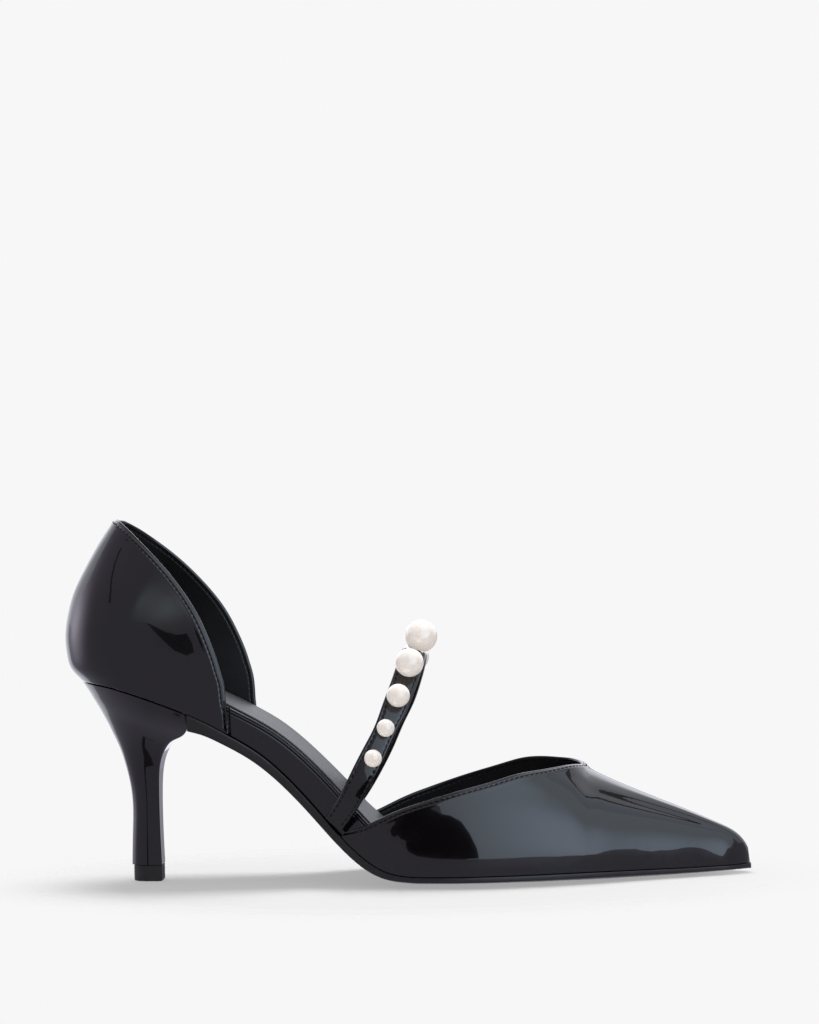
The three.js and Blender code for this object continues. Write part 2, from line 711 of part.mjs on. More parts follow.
// Strap: seen from the front an arch on two legs, seen from the side leaning forward and
// straightening towards its top.
const archPower = 2 / 1.75;
const strapBend = 0.48;
const strapFootHeight = featherHeight(strapFoot) + 0.4;

function strapSideX(z) {
  const share = (z - strapFootHeight) / (strapTopHeight - strapFootHeight);
  const bent = share * (1 + strapBend) - strapBend * share * share;
  return mix(strapFoot, strapTopPlace, bent);
}

const strapFootHalf = halfWidth(strapFoot) + strapThickness / 2 + 2 * fit;

function strapPath(side) {
  const points = [];
  const legSteps = 12;
  const archSteps = 60;
  for (let i = 0; i < legSteps; i++) {
    const share = i / legSteps;
    const z = mix(strapFootHeight, strapShoulder, share);
    points.push(new THREE.Vector3(strapSideX(z), side * mix(strapFootHalf, strapHalfSpan, ease(share)), z));
  }
  for (let i = 0; i <= archSteps; i++) {
    const angle = i / archSteps * Math.PI / 2;
    const across = strapHalfSpan * Math.cos(angle) ** archPower;
    const z = mix(strapShoulder, strapTopHeight, Math.sin(angle) ** archPower);
    points.push(new THREE.Vector3(strapSideX(z), side * across, z));
  }
  return points;
}

const halfPath = strapPath(-1);
const strapCurve = new THREE.CatmullRomCurve3([...halfPath, ...strapPath(1).slice(0, -1).reverse()]);
strapCurve.arcLengthDivisions = 800;
const strapLength = strapCurve.getLength();

// The strap's own directions at a share of its length: along it, across it and out of it.
function strapFrame(share) {
  const place = strapCurve.getPointAt(share);
  const along = strapCurve.getTangentAt(share);
  const step = 0.5;
  const lean = (strapSideX(place.z + step) - strapSideX(place.z - step)) / (2 * step);
  const across = new THREE.Vector3(1, 0, -lean).normalize();
  across.addScaledVector(along, -across.dot(along)).normalize();
  const out = new THREE.Vector3().crossVectors(across, along).normalize();
  return { place, along, across, out };
}

function makeStrap() {
  const steps = 46;
  const around = 12;
  const rings = range(steps).map((share) => {
    const { place, across, out } = strapFrame(share);
    const fromEnd = (0.5 - Math.abs(share - 0.5)) * strapLength;
    const width = mix(strapEndWidth, strapWidth, ease(fromEnd / strapShoulder));
    const ring = [];
    for (let i = 0; i < around; i++) {
      const angle = -i / around * Math.PI * 2;
      const c = Math.cos(angle);
      const s = Math.sin(angle);
      const wide = Math.sign(c) * Math.abs(c) ** 0.6 * width / 2;
      const thick = Math.sign(s) * Math.abs(s) ** 0.75 * strapThickness / 2;
      ring.push(place.clone().addScaledVector(across, wide).addScaledVector(out, thick));
    }
    return ring;
  });
  return loft(rings);
}

// Pearls: round, ground flat where they sit on the strap
function makePearl(diameter) {
  const radius = diameter / 2;
  const flat = diameter * pearlFlatShare;
  const start = Math.acos((radius - flat) / radius);
  const steps = 8;
  const profile = [new THREE.Vector2(0, 0)];
  for (let i = 0; i < steps; i++) {
    const angle = mix(start, Math.PI, i / steps);
    profile.push(new THREE.Vector2(radius * Math.sin(angle), radius - flat - radius * Math.cos(angle)));
  }
  profile.push(new THREE.Vector2(0, 2 * radius - flat));
  const turned = new THREE.LatheGeometry(profile, 13);
  turned.deleteAttribute('normal');
  turned.deleteAttribute('uv');
  return solidFromTriangles(trianglesOf(turned));
}

function trianglesOf(geometry) {
  const position = geometry.getAttribute('position');
  const corners = [];
  for (const i of geometry.getIndex().array) {
    const x = position.getX(i);
    const z = position.getZ(i);
    corners.push(new THREE.Vector3(Math.abs(x) < 1e-6 ? 0 : x, position.getY(i), Math.abs(z) < 1e-6 ? 0 : z));
  }
  return corners;
}

const patent = { color: 0x0b0a0c, roughness: 0.08, metalness: 0 };
const finishes = {
  outsole: { color: 0x151416, roughness: 0.4, metalness: 0 },
  tip: { color: 0x1b1a1b, roughness: 0.7, metalness: 0 },
  sock: { color: 0x222126, roughness: 0.45, metalness: 0 },
  pearl: { color: 0xf1ebe2, roughness: 0.2, metalness: 0 },
};

const shoe = new THREE.Group();

function add(name, geometry, finish) {
  const mesh = new THREE.Mesh(geometry, new THREE.MeshStandardMaterial(finish));
  mesh.name = name;
  shoe.add(mesh);
  return mesh;
}

add('outsole', makeOutsole(), finishes.outsole);
add('heel', makeHeel(), patent);
add('heel_tip', makeTip(), finishes.tip);
add('insole', makeInsole(), patent);
add('sock_lining', makeSock(), finishes.sock);
add('vamp', makeVamp(), patent);
add('counter', makeCounter(), patent);
add('strap', makeStrap(), patent);

// A pearl stands on the strap's outer face at a distance along it from the top of the instep.
function addPearl(name, diameter, distance) {
  const { place, along, across, out } = strapFrame(0.5 + distance / strapLength);
  const pearl = add(name, makePearl(diameter), finishes.pearl);
  pearl.matrixAutoUpdate = false;
  const foot = place.addScaledVector(out, strapThickness / 2 + fit);
  pearl.matrix.makeBasis(across, out, along.negate()).setPosition(foot);
}

addPearl('pearl_center', pearlDiameters[0], 0);
let distance = 0;
for (let i = 1; i < pearlDiameters.length; i++) {
  distance += (pearlDiameters[i - 1] + pearlDiameters[i]) / 2 + pearlGap;
  addPearl(`pearl_outer_${i}`, pearlDiameters[i], -distance);
  addPearl(`pearl_inner_${i}`, pearlDiameters[i], distance);
}

export default shoe;
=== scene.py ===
# A right pump in two parts with a pearl strap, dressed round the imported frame.
# Metres, +Z up, +X towards the toe, +Y towards the inner side of the foot.
import math

import bmesh
import bpy
import numpy as np
from mathutils import Matrix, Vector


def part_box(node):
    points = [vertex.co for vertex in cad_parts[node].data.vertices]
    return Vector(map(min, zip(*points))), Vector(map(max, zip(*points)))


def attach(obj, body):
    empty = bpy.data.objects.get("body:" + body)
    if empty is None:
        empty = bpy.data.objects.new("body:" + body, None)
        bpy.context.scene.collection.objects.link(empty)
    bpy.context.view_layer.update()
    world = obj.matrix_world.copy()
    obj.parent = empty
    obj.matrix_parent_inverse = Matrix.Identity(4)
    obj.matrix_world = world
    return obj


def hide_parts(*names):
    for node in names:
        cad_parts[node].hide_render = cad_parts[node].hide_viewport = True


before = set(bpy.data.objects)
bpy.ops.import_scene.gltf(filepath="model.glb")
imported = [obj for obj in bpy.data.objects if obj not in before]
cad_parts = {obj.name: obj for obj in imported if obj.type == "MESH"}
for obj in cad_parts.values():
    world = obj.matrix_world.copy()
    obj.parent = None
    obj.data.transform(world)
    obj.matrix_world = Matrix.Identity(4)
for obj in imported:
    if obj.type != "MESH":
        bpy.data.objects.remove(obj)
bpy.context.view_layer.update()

# Outsole
# A thin sole of black resin leather, cemented under the upper from the heel's breast to the toe.
# Its cut edge is inked and shows as a slim satin band; the tread below is finely grained.
MM = 0.001
back_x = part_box("counter")[0].x
toe_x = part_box("vamp")[1].x
seat_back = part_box("heel")[0].x
breast_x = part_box("heel")[1].x
heel_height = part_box("heel")[1].z
shoe_length = toe_x - back_x
tread_start, tread_end = 97 * MM, 149 * MM
toe_spring = 1.4 * MM
ball_width = 76 * MM
sole_thickness = 2.6 * MM
sole_edge = 0.4 * MM
tread_crown = 1.4 * MM
tread_flat_share = 0.35
fit = 0.3 * MM


def clamp01(value):
    """The value, held between 0 and 1."""
    return np.clip(value, 0.0, 1.0)


def ease(value):
    """Three times the square of the clamped value less twice its cube."""
    value = clamp01(value)
    return value * value * (3 - 2 * value)


def mix(a, b, share):
    """a moved towards b by a share of the way."""
    return a + (b - a) * share


def spline_through(rows, scale_x=1.0, scale_y=1.0, shift=0.0):
    """Natural cubic through rows of (place, value): second slopes are solved so that both ends have none."""
    x, y = np.array(rows, float).T * [[scale_x], [scale_y]] + [[shift], [0.0]]
    gap = np.diff(x)
    inner = np.arange(1, len(x) - 1)
    system = np.eye(len(x))
    system[inner, inner - 1] = gap[:-1]
    system[inner, inner] = 2 * (gap[:-1] + gap[1:])
    system[inner, inner + 1] = gap[1:]
    right = np.zeros(len(x))
    right[1:-1] = 6 * np.diff(np.diff(y) / gap)
    bend = np.linalg.solve(system, right)

    def value(at):
        at = np.clip(at, x[0], x[-1])
        i = np.clip(np.searchsorted(x, at) - 1, 0, len(x) - 2)
        b = (at - x[i]) / gap[i]
        a = 1 - b
        curve = ((a**3 - a) * bend[i] + (b**3 - b) * bend[i + 1]) * gap[i] ** 2 / 6
        return a * y[i] + b * y[i + 1] + curve

    return value


# Profile of the last's underside: share of the arch's length behind the tread, share of its rise.
arch_curve = spline_through(
    [(0, 0), (0.042, 0.006), (0.092, 0.028), (0.159, 0.1), (0.225, 0.206), (0.292, 0.333), (0.376, 0.489),
     (0.459, 0.622), (0.543, 0.722), (0.626, 0.806), (0.71, 0.87), (0.81, 0.935), (0.91, 0.984), (1, 1)],
    tread_start - seat_back, heel_height - sole_thickness)
# Share of the shoe's length, then thickness of the sole in shares of its own at the tread.
sole_share = spline_through(
    [(0.188, 2.05), (0.205, 1.78), (0.235, 1.5), (0.29, 1.32), (0.35, 1.12), (0.42, 1.02), (0.46, 1), (0.5, 1),
     (0.55, 1), (0.62, 1), (0.75, 0.98), (1, 0.74)], shoe_length, 1, back_x)
# Share of the shoe's length, then half width and middle line in shares of the ball's width.
plan_rows = [
    (0.188, 0.3275, 0), (0.246, 0.325, -0.003), (0.283, 0.312, -0.004), (0.324, 0.301, -0.003),
    (0.365, 0.312, -0.004), (0.406, 0.352, -0.009), (0.439, 0.395, -0.012), (0.472, 0.432, -0.01),
    (0.513, 0.468, -0.008), (0.554, 0.491, -0.004), (0.595, 0.499, 0.004), (0.641, 0.486, 0.013),
    (0.711, 0.43, 0.021), (0.781, 0.345, 0.029), (0.838, 0.26, 0.039), (0.9, 0.175, 0.05),
    (0.941, 0.12, 0.058), (1, 0.058, 0.07)]
plan_half = spline_through([(at, half) for at, half, _ in plan_rows], shoe_length, ball_width, back_x)
plan_middle = spline_through([(at, middle) for at, _, middle in plan_rows], shoe_length, ball_width, back_x)
nose_start = toe_x - 0.037 * shoe_length


def sole_at(x):
    """Thickness of the sole: full over the flat tread, by its table elsewhere."""
    flat = (x >= tread_start) & (x <= tread_end)
    return sole_thickness * np.where(flat, 1, sole_share(x))


def bed_height(x):
    """Top of the sole on the middle line: the arch behind the tread, a parabola of toe spring before it."""
    front = sole_at(x) + toe_spring * clamp01((x - tread_end) / (toe_x - tread_end)) ** 2
    return np.where(x >= tread_start, front, sole_thickness + arch_curve(tread_start - x))


def bed_normal(x):
    """Forward and upward parts of the unit normal of the bed, from its slope over half a millimetre."""
    step = 0.5 * MM
    slope = np.where(x > tread_start, 0, (bed_height(x + step) - bed_height(x - step)) / (2 * step))
    size = np.hypot(1, slope)
    return -slope / size, 1 / size


def crown_at(x):
    """Height of the sole's edges over its middle: none at the seat, full at the tread, none at the toe."""
    from_seat = ease((x - breast_x) / (tread_start - breast_x) * 2.2)
    return tread_crown * from_seat * (1 - ease((x - tread_end) / (toe_x - tread_end)))


def nose_share(x, power):
    """Rounding of the toe: a superellipse of that power, 1 behind the nose and 0 at its tip."""
    share = clamp01((x - nose_start) / (toe_x - nose_start))
    return clamp01(1 - share**power) ** (1 / power)


def on_bed(x, across, half, lift, source=None, upright=0.0):
    """A point over the sole: across from the middle line, lifted square to the bed, and raised by the crown,
    which grows with the square of the place across past the flat share of the half width."""
    source = x if source is None else source
    share = np.abs(across) / np.maximum(half, 1e-6)
    shape = np.maximum(0, (share - tread_flat_share) / (1 - tread_flat_share)) ** 2
    lean, rise = bed_normal(x)
    rise = mix(rise, 1 / rise, upright)
    middle = np.where(source >= breast_x, plan_middle(source), 0)
    z = bed_height(x) + crown_at(source) * np.minimum(shape, 1) + lift * rise
    return np.stack(np.broadcast_arrays(x + lift * lean * (1 - upright), middle + across, z), -1)


def stations(start, end, count, thick_start=0.0, thick_end=0.0):
    """Places from start to end, drawn together at an end by its share of a cosine spacing."""
    share = np.linspace(0, 1, count)
    share = mix(share, 1 - np.cos(share * math.pi / 2), thick_start)
    share = mix(share, np.sin(share * math.pi / 2), thick_end)
    return mix(start, end, share)


def closed_ends(rings, steps=(0.985, 0.93, 0.6, 0.25, 0.0)):
    """Rings with more rings at both ends, shrunk towards the end ring's middle by each share in turn."""
    def shrunk(ring):
        middle = ring.mean(0)
        return np.array([middle + (ring - middle) * step for step in steps])
    return np.concatenate([shrunk(rings[0])[::-1], rings, shrunk(rings[-1])])


def grid_faces(rows, columns, wraps):
    """Quads of a grid of points that are numbered row by row; wraps joins the last column to the first."""
    i, j = np.meshgrid(np.arange(rows - 1), np.arange(columns if wraps else columns - 1), indexing="ij")
    k = (j + 1) % columns
    corners = [i * columns + j, (i + 1) * columns + j, (i + 1) * columns + k, i * columns + k]
    return np.stack(corners, -1).reshape(-1, 4)


def piece_from_grids(name, grids, finishes, replaced=(), sharp=35, wraps=True):
    """One mesh from grids of points, each (rows, columns, 3) or with a finish number for each face.
    Points at one place are merged, faces turned outwards, and edges past the sharp angle kept crisp."""
    points, faces, numbers, start = [], [], [], 0
    for grid in grids:
        grid, number = grid if isinstance(grid, tuple) else (grid, 0)
        rows, columns = grid.shape[:2]
        quads = grid_faces(rows, columns, wraps)
        points.append(grid.reshape(-1, 3))
        faces.append(quads + start)
        numbers.append(np.broadcast_to(number, (rows - 1, columns if wraps else columns - 1)).reshape(-1))
        start += rows * columns
    mesh = bpy.data.meshes.new(name)
    mesh.from_pydata(np.concatenate(points).tolist(), [], np.concatenate(faces).tolist())
    mesh.polygons.foreach_set("material_index", np.concatenate(numbers).astype(np.int32))
    work = bmesh.new()
    work.from_mesh(mesh)
    bmesh.ops.remove_doubles(work, verts=work.verts, dist=0.002 * MM)
    bmesh.ops.dissolve_degenerate(work, edges=work.edges, dist=0.001 * MM)
    bmesh.ops.recalc_face_normals(work, faces=work.faces)
    work.to_mesh(mesh)
    work.free()
    mesh.shade_smooth()
    mesh.set_sharp_from_angle(angle=math.radians(sharp))
    for finish in finishes:
        mesh.materials.append(finish)
    piece = bpy.data.objects.new(name, mesh)
    bpy.context.scene.collection.objects.link(piece)
    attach(piece, "root")
    if replaced:
        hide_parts(*replaced)
    return piece


class Value:
    """A socket of a material. Arithmetic on it adds Math nodes."""

    def __init__(self, finish, socket):
        self.finish, self.socket = finish, socket

    def math(self, operation, first, second=0.0):
        return self.finish.node("ShaderNodeMath", [first, second], operation=operation)

    def __add__(self, other):
        return self.math("ADD", self, other)

    def __sub__(self, other):
        return self.math("SUBTRACT", self, other)

    def __rsub__(self, other):
        return self.math("SUBTRACT", other, self)

    def __mul__(self, other):
        return self.math("MULTIPLY", self, other)

    def __pow__(self, other):
        return self.math("POWER", self, other)

    __radd__ = __add__
    __rmul__ = __mul__

    def clamped(self):
        return self.finish.node("ShaderNodeClamp", [self])


class Finish:
    """A material: node() adds a node with its settings, then its sockets; surface() ends it."""

    def __init__(self, name):
        self.material = bpy.data.materials.new(name)
        self.material.use_nodes = True
        self.tree = self.material.node_tree
        self.tree.nodes.clear()
        self.place = self.node("ShaderNodeTexCoord", {}, output="Object")

    def node(self, kind, sockets, output=0, stops=None, **settings):
        made = self.tree.nodes.new(kind)
        for key, value in settings.items():
            setattr(made, key, value)
        if stops:
            while len(made.color_ramp.elements) < len(stops):
                made.color_ramp.elements.new(0.5)
            for element, (at, colour) in zip(made.color_ramp.elements, stops):
                element.position, element.color = at, colour
        pairs = sockets.items() if isinstance(sockets, dict) else enumerate(sockets)
        for key, value in pairs:
            if isinstance(value, Value):
                self.tree.links.new(value.socket, made.inputs[key])
            else:
                made.inputs[key].default_value = value
        return Value(self, made.outputs[output]) if made.outputs else None

    def noise(self, scale, detail=2.0, roughness=0.5, vector=None):
        sockets = {"Vector": vector or self.place, "Scale": scale, "Detail": detail, "Roughness": roughness}
        return self.node("ShaderNodeTexNoise", sockets)

    def cells(self, scale, output="Distance", feature="F1"):
        sockets = {"Vector": self.place, "Scale": scale}
        return self.node("ShaderNodeTexVoronoi", sockets, output=output, feature=feature)

    def blend(self, first, second, share):
        """A colour between two, by a share that may vary."""
        sockets = {"Factor": share, 6: (*first, 1) if isinstance(first, tuple) else first,
                   7: (*second, 1) if isinstance(second, tuple) else second}
        return self.node("ShaderNodeMix", sockets, output=2, data_type="RGBA")

    def bump(self, height, distance, strength=1.0, below=None):
        sockets = {"Height": height, "Distance": distance, "Strength": strength}
        if below:
            sockets["Normal"] = below
        return self.node("ShaderNodeBump", sockets)

    def surface(self, **sockets):
        named = {key.replace("_", " "): value for key, value in sockets.items()}
        shader = self.node("ShaderNodeBsdfPrincipled", named)
        self.node("ShaderNodeOutputMaterial", {"Surface": shader})
        return self.material


sole_x = stations(breast_x + 0.05 * MM, toe_x + sole_edge, 420, 0.0, 0.75)[:, None]
sole_source = np.minimum(mix(sole_x, sole_x - sole_edge, ease((sole_x - tread_end) / (toe_x - tread_end))), toe_x)
sole_half = plan_half(sole_source) * nose_share(sole_source, 2)
sole_half = sole_half + sole_edge * np.minimum(1, sole_half / (10 * MM))
sole_deep = sole_at(sole_x)
sole_upright = 1 - ease((sole_x - sole_x[0]) / (10 * MM))
# Half of the section, from the middle of the tread round the edge to the middle of the top.
edge_in = np.array([1, 0.6, 0.3, 0.1, 0, 0, 0, 0, 0.06, 0.2, 0.5]) * MM
edge_up = np.array([0, 0.03, 0.12, 0.32, 0.6, 1, 1.5, 2.2, 2.45, 2.57, 2.6]) / 2.6
camber_up = np.array([0.7, 0.74, 0.83, 0.98, 1.18, 1.4, 1.7, 2.2, 2.45, 2.57, 2.6]) / 2.6
inner_share = np.linspace(0, 1, 14)[:-1]
edge_across = np.maximum(sole_half - edge_in, 0)
inner_across = inner_share * edge_across[:, :1]
half_across = np.concatenate([inner_across, edge_across, inner_across[:, ::-1]], 1)
flat_up = np.concatenate([0 * inner_share, edge_up, 0 * inner_share + 1])
round_up = np.concatenate([camber_up[0] * inner_share**3, camber_up, 0 * inner_share + 1])
half_up = mix(flat_up, round_up, ease((sole_x - 80 * MM) / (15 * MM)))
sole_rings = np.concatenate([
    on_bed(sole_x, half_across, sole_half, (half_up - 1) * sole_deep, sole_source, sole_upright),
    on_bed(sole_x, -half_across, sole_half, (half_up - 1) * sole_deep, sole_source, sole_upright)[:, ::-1]], 1)

sole_finish = Finish("sole_resin_leather")
sole_grain = sole_finish.cells(900 / 1.0, feature="SMOOTH_F1")
sole_scuff = sole_finish.noise(160, 5, 0.6)
sole_surface = sole_finish.surface(
    Base_Color=sole_finish.blend((0.012, 0.0115, 0.0125), (0.022, 0.021, 0.022), sole_scuff),
    Roughness=sole_scuff * 0.18 + 0.28, Specular_IOR_Level=0.5,
    Normal=sole_finish.bump(sole_grain, 0.05 * MM, 0.35, sole_finish.bump(sole_scuff, 0.1 * MM, 0.3)))
outsole = piece_from_grids("outsole_dressed", [closed_ends(sole_rings, (0.99, 0.5, 0.0))], [sole_surface],
                           ["outsole"])

# Heel
# A slim moulded heel covered in patent leather, round behind and flat in front. It flares into the
# seat and forward under the arch, and is pinned through the seat from inside.
seat_width = 50 * MM
counter_height = 58 * MM
counter_peak_in = 19.3 * MM
# Height over the seat's back as a share of the counter's, then: how far the back lies in, half
# width of half the seat, and where the round back turns into the sides.
counter_rows = [
    (-0.33, 0.3, 0.99, 0.615), (-0.12, 0.3, 0.995, 0.612), (0, 0.3, 1, 0.6), (0.035, 0.2, 1.006, 0.59),
    (0.08, 0.093, 1.012, 0.575), (0.15, 0.03, 1.02, 0.555), (0.27, 0, 1.015, 0.54), (0.42, 0.062, 0.98, 0.56),
    (0.56, 0.187, 0.905, 0.625), (0.7, 0.4, 0.805, 0.715), (0.85, 0.665, 0.68, 0.815), (1, 0.985, 0.54, 0.925)]
counter_back = spline_through([(r[0], r[1]) for r in counter_rows], counter_height, counter_peak_in, heel_height)
counter_half = spline_through([(r[0], r[2]) for r in counter_rows], counter_height, seat_width / 2, heel_height)
counter_side = spline_through([(r[0], r[3]) for r in counter_rows], counter_height, seat_width, heel_height)


def counter_turn(x, z):
    """How far round the back of the last a place lies: 0 behind, 1 at the side, more along the straight."""
    along = np.maximum(0, x - back_x - counter_back(z))
    depth = counter_side(z) - counter_back(z)
    round_part = np.arccos(np.clip(1 - along / depth, -1, 1)) / (math.pi / 2)
    return np.where(along > depth, 1 + (along - depth) / seat_width, round_part)


def half_width(x):
    """Half width of the last's underside: its plan in front of the heel's breast, an ellipse round the seat."""
    z = bed_height(x)
    seat = counter_half(z) * np.sin(np.minimum(counter_turn(x, z), 1) * math.pi / 2)
    return np.where(x >= breast_x, plan_half(x) * nose_share(x, 2), seat)


# Share of the height between tip and seat, then: place of the back and of the front in shares of
# the seat's, half width on its way from the tip's to the seat's, and depth of the round back.
heel_rows = [
    (0, 0.29, 0.31, 0, 0.62), (0.19, 0.272, 0.288, 0.01, 0.62), (0.33, 0.263, 0.281, 0.022, 0.62),
    (0.45, 0.295, 0.283, 0.05, 0.62), (0.56, 0.365, 0.303, 0.11, 0.62), (0.65, 0.445, 0.362, 0.2, 0.62),
    (0.725, 0.542, 0.474, 0.33, 0.62), (0.78, 0.617, 0.62, 0.46, 0.62), (0.82, 0.68, 0.785, 0.57, 0.62),
    (0.86, 0.745, 0.905, 0.69, 0.63), (0.905, 0.825, 0.975, 0.81, 0.642), (0.94, 0.885, 1, 0.89, 0.652),
    (1, 1, 1, 1, 0.675)]
heel_back = spline_through([(r[0], r[1]) for r in heel_rows], 1, -seat_back)
heel_front = spline_through([(r[0], r[2]) for r in heel_rows], 1, breast_x)
heel_half = spline_through([(r[0], r[3]) for r in heel_rows])
heel_round = spline_through([(r[0], r[4]) for r in heel_rows])
tip_low, tip_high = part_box("heel_tip")
heel_end_margin = 0.5 * MM


def heel_outline(round_share, corner=0.07, count=180):
    """A section from the back round the outer side to the back again, as share of its length and of its half
    width: a quarter ellipse behind, a straight side, a quarter round corner and a flat front."""
    turn = np.linspace(0, 1, count // 2 + 1)
    behind = clamp01(turn / 0.5) * math.pi / 2
    round_share, corner = np.asarray(round_share)[..., None], np.asarray(corner)[..., None]
    along = round_share * (1 - np.cos(behind))
    across = np.sin(behind)
    side = clamp01((turn - 0.5) / 0.22)
    bend = clamp01((turn - 0.72) / 0.12) * math.pi / 2
    front = clamp01((turn - 0.84) / 0.16)
    along = along + side * (1 - corner - round_share) + corner * np.sin(bend)
    across = across - corner * 1.5 * (1 - np.cos(bend)) - front * (1 - corner * 1.5)
    along, across = np.broadcast_arrays(along, across)
    return (np.concatenate([along, along[..., -2:0:-1]], -1), np.concatenate([across, -across[..., -2:0:-1]], -1))


heel_level = np.concatenate([np.linspace(0, 0.9935, 210), [0.9942, 1]])
along, across = heel_outline(heel_round(heel_level), mix(0.07, 0.008, ease((heel_level - 0.68) / 0.22)))
slimmer = 0.3 * MM * (1 - ease((heel_level - 0.5) / 0.3))[:, None]
heel_x = mix(-heel_back(heel_level)[:, None] + slimmer,
             np.minimum(heel_front(heel_level), breast_x)[:, None] - slimmer, along)
shaft_y = across * ((tip_high.y - tip_low.y) / 2 + heel_end_margin)
front_share = clamp01((along - 0.93) / 0.07)
seat_y = np.sign(across) * half_width(mix(seat_back, breast_x, along)) * mix(1, np.abs(across), front_share)
heel_y = mix(shaft_y, seat_y, clamp01(heel_half(heel_level))[:, None])
heel_foot = tip_high.z + fit
heel_z = mix(heel_foot, bed_height(heel_x), heel_level[:, None])
top_bevel = np.where(heel_level > 0.994, 0.955, 1)[:, None]
heel_middle = (heel_x.max(1) + heel_x.min(1))[:, None] / 2
heel_behind = np.where(along < 0.5, mix(heel_middle, heel_x, top_bevel), heel_x)
heel_rings = np.stack([heel_behind, heel_y * top_bevel, heel_z], -1)

PATENT = (0.0056, 0.0042, 0.0054)


def patent(name, waves=0.5, seed=0.0):
    """Patent leather: a near black base under a clear coat, with slow waves and a fine peel in the coat."""
    finish = Finish(name)
    shifted = finish.node("ShaderNodeMapping", {"Vector": finish.place, "Location": (seed, seed * 0.7, 0)})
    slow = finish.noise(95, 2, 0.5, shifted)
    peel = finish.noise(620, 2, 0.55, shifted)
    dust = finish.noise(260, 4, 0.65, shifted)
    lower = finish.bump(slow, 0.34 * MM, waves)
    upper = finish.bump(peel, 0.012 * MM, waves, lower)
    colour = finish.blend(PATENT, (0.0082, 0.0068, 0.008), dust)
    return finish.surface(Base_Color=colour, Roughness=dust * 0.1 + 0.16, Specular_IOR_Level=0.2,
                          Coat_Weight=1.0, Coat_Roughness=0.025, Coat_IOR=1.5, Normal=upper)


heel = piece_from_grids("heel_dressed", [closed_ends(heel_rings, (0.99, 0.5, 0.0))],
                        [patent("heel_patent", 0.25, 0.31)], ["heel"])

# Heel tip
# The rubber top piece that meets the floor: matte black, with a small bevel at its lower edge.
tip_z = np.array([tip_high.z, tip_high.z, 0.45 * MM, 0.14 * MM, 0.0])
tip_in = np.array([0.12, 0.0, 0.0, 0.09, 0.32]) * MM
along, across = heel_outline(0.62)
tip_length, tip_half = tip_high.x - tip_low.x, (tip_high.y - tip_low.y) / 2
tip_rings = np.stack([
    (along - 0.5) * (tip_length - 2 * tip_in[:, None]) - 0.35 * MM,
    across * (tip_half - tip_in[:, None]),
    tip_z[:, None] + 0 * along], -1)
tip_finish = Finish("tip_rubber")
tip_grain = tip_finish.noise(1800, 3, 0.6)
tip_surface = tip_finish.surface(
    Base_Color=tip_finish.blend((0.014, 0.0135, 0.0135), (0.032, 0.03, 0.03), tip_finish.noise(420, 4)),
    Roughness=tip_grain * 0.2 + 0.5, Normal=tip_finish.bump(tip_grain, 0.04 * MM, 0.5))
heel_tip = piece_from_grids("heel_tip_dressed", [closed_ends(tip_rings, (0.9, 0.5, 0.0))], [tip_surface],
                            ["heel_tip"])

# Insole
# One unit of board and padding wrapped in patent leather. At the open waist its side is a wall of
# about 10 mm with two fine beads along its top; in the vamp and counter it lies inside the upper.
insole_wall, insole_thickness, seat_pad = 10.4 * MM, 2.6 * MM, 6.5 * MM
inner_wall_share = 0.88
upper_wall = 1.6 * MM
board_clearance = upper_wall + 2 * fit
vamp_back, strap_foot = 71.2 * MM, 67.2 * MM
outer_reach, inner_reach = 40.5 * MM, 46.5 * MM
peak_x = back_x + counter_peak_in
corner_drop = 0.92 * counter_height
wall_share = spline_through(
    [(0.188, 0.78), (0.205, 0.82), (0.235, 0.86), (0.29, 0.92), (0.35, 0.98), (0.42, 1), (0.46, 0.94),
     (0.5, 0.74), (0.55, 0.47), (0.62, 0.3), (0.75, 0.25), (1, 0.25)], shoe_length, 1, back_x)
# Share of the counter's height below its peak, then share of the way to its front edge.
counter_top = spline_through(
    [(0, 0), (0.06, 0.118), (0.13, 0.234), (0.25, 0.413), (0.4, 0.595), (0.56, 0.748), (0.73, 0.86),
     (0.92, 0.948), (1.25, 1)], counter_height)


def insole_at(x):
    """Height of the insole on the middle line: a pad in the seat, the wall at the waist, then the board."""
    at_breast = insole_wall * wall_share(breast_x)
    seat = mix(seat_pad, at_breast, ease((x - back_x) / (breast_x - back_x)))
    front = mix(insole_wall * wall_share(x), insole_thickness, ease((x - tread_start) * 2 / (tread_end - tread_start)))
    return np.where(x < breast_x, seat, front)


def insole_top(x, share):
    """Height at a share of the half width, -1 outer to 1 inner: lower towards the inner side of the waist."""
    tall = insole_at(x)
    return tall * mix(1, inner_wall_share, ease((share + 1) / 2) * ease((tall - insole_thickness) / insole_thickness))


def feather_height(x):
    """Lower edge of the upper: the fit over the sole's raised edge."""
    return bed_height(x) + crown_at(x) + fit / bed_normal(x)[1]


def counter_foot(reach):
    """Turn and height where a front edge meets the feather line, found by stepping to the bed's height there."""
    x = peak_x + reach
    return counter_turn(x, bed_height(x)), feather_height(x)


def counter_front(z, side):
    """Place of the counter's front edge at a height: its turn runs evenly from its foot to its corner."""
    reach = outer_reach if side < 0 else inner_reach
    foot_turn, foot_z = counter_foot(reach)
    top_z = heel_height + counter_height - corner_drop
    top_turn = counter_turn(peak_x + reach * counter_top(corner_drop), top_z)
    turn = mix(foot_turn, top_turn, clamp01((z - foot_z) / (top_z - foot_z)))
    return back_x + counter_side(z) + (turn - 1) * seat_width


insole_x = np.unique(np.concatenate([
    stations(seat_back, toe_x - 3 * upper_wall, 300, 0.5, 0.5), np.arange(25, 41, 0.12) * MM,
    np.arange(64, 72, 0.25) * MM]))[:, None]
insole_span = clamp01((insole_x - seat_back) / (toe_x - 3 * upper_wall - seat_back))
insole_source = mix(insole_x, insole_x + 3 * upper_wall * ease((insole_span - 0.9) * 10), insole_span)
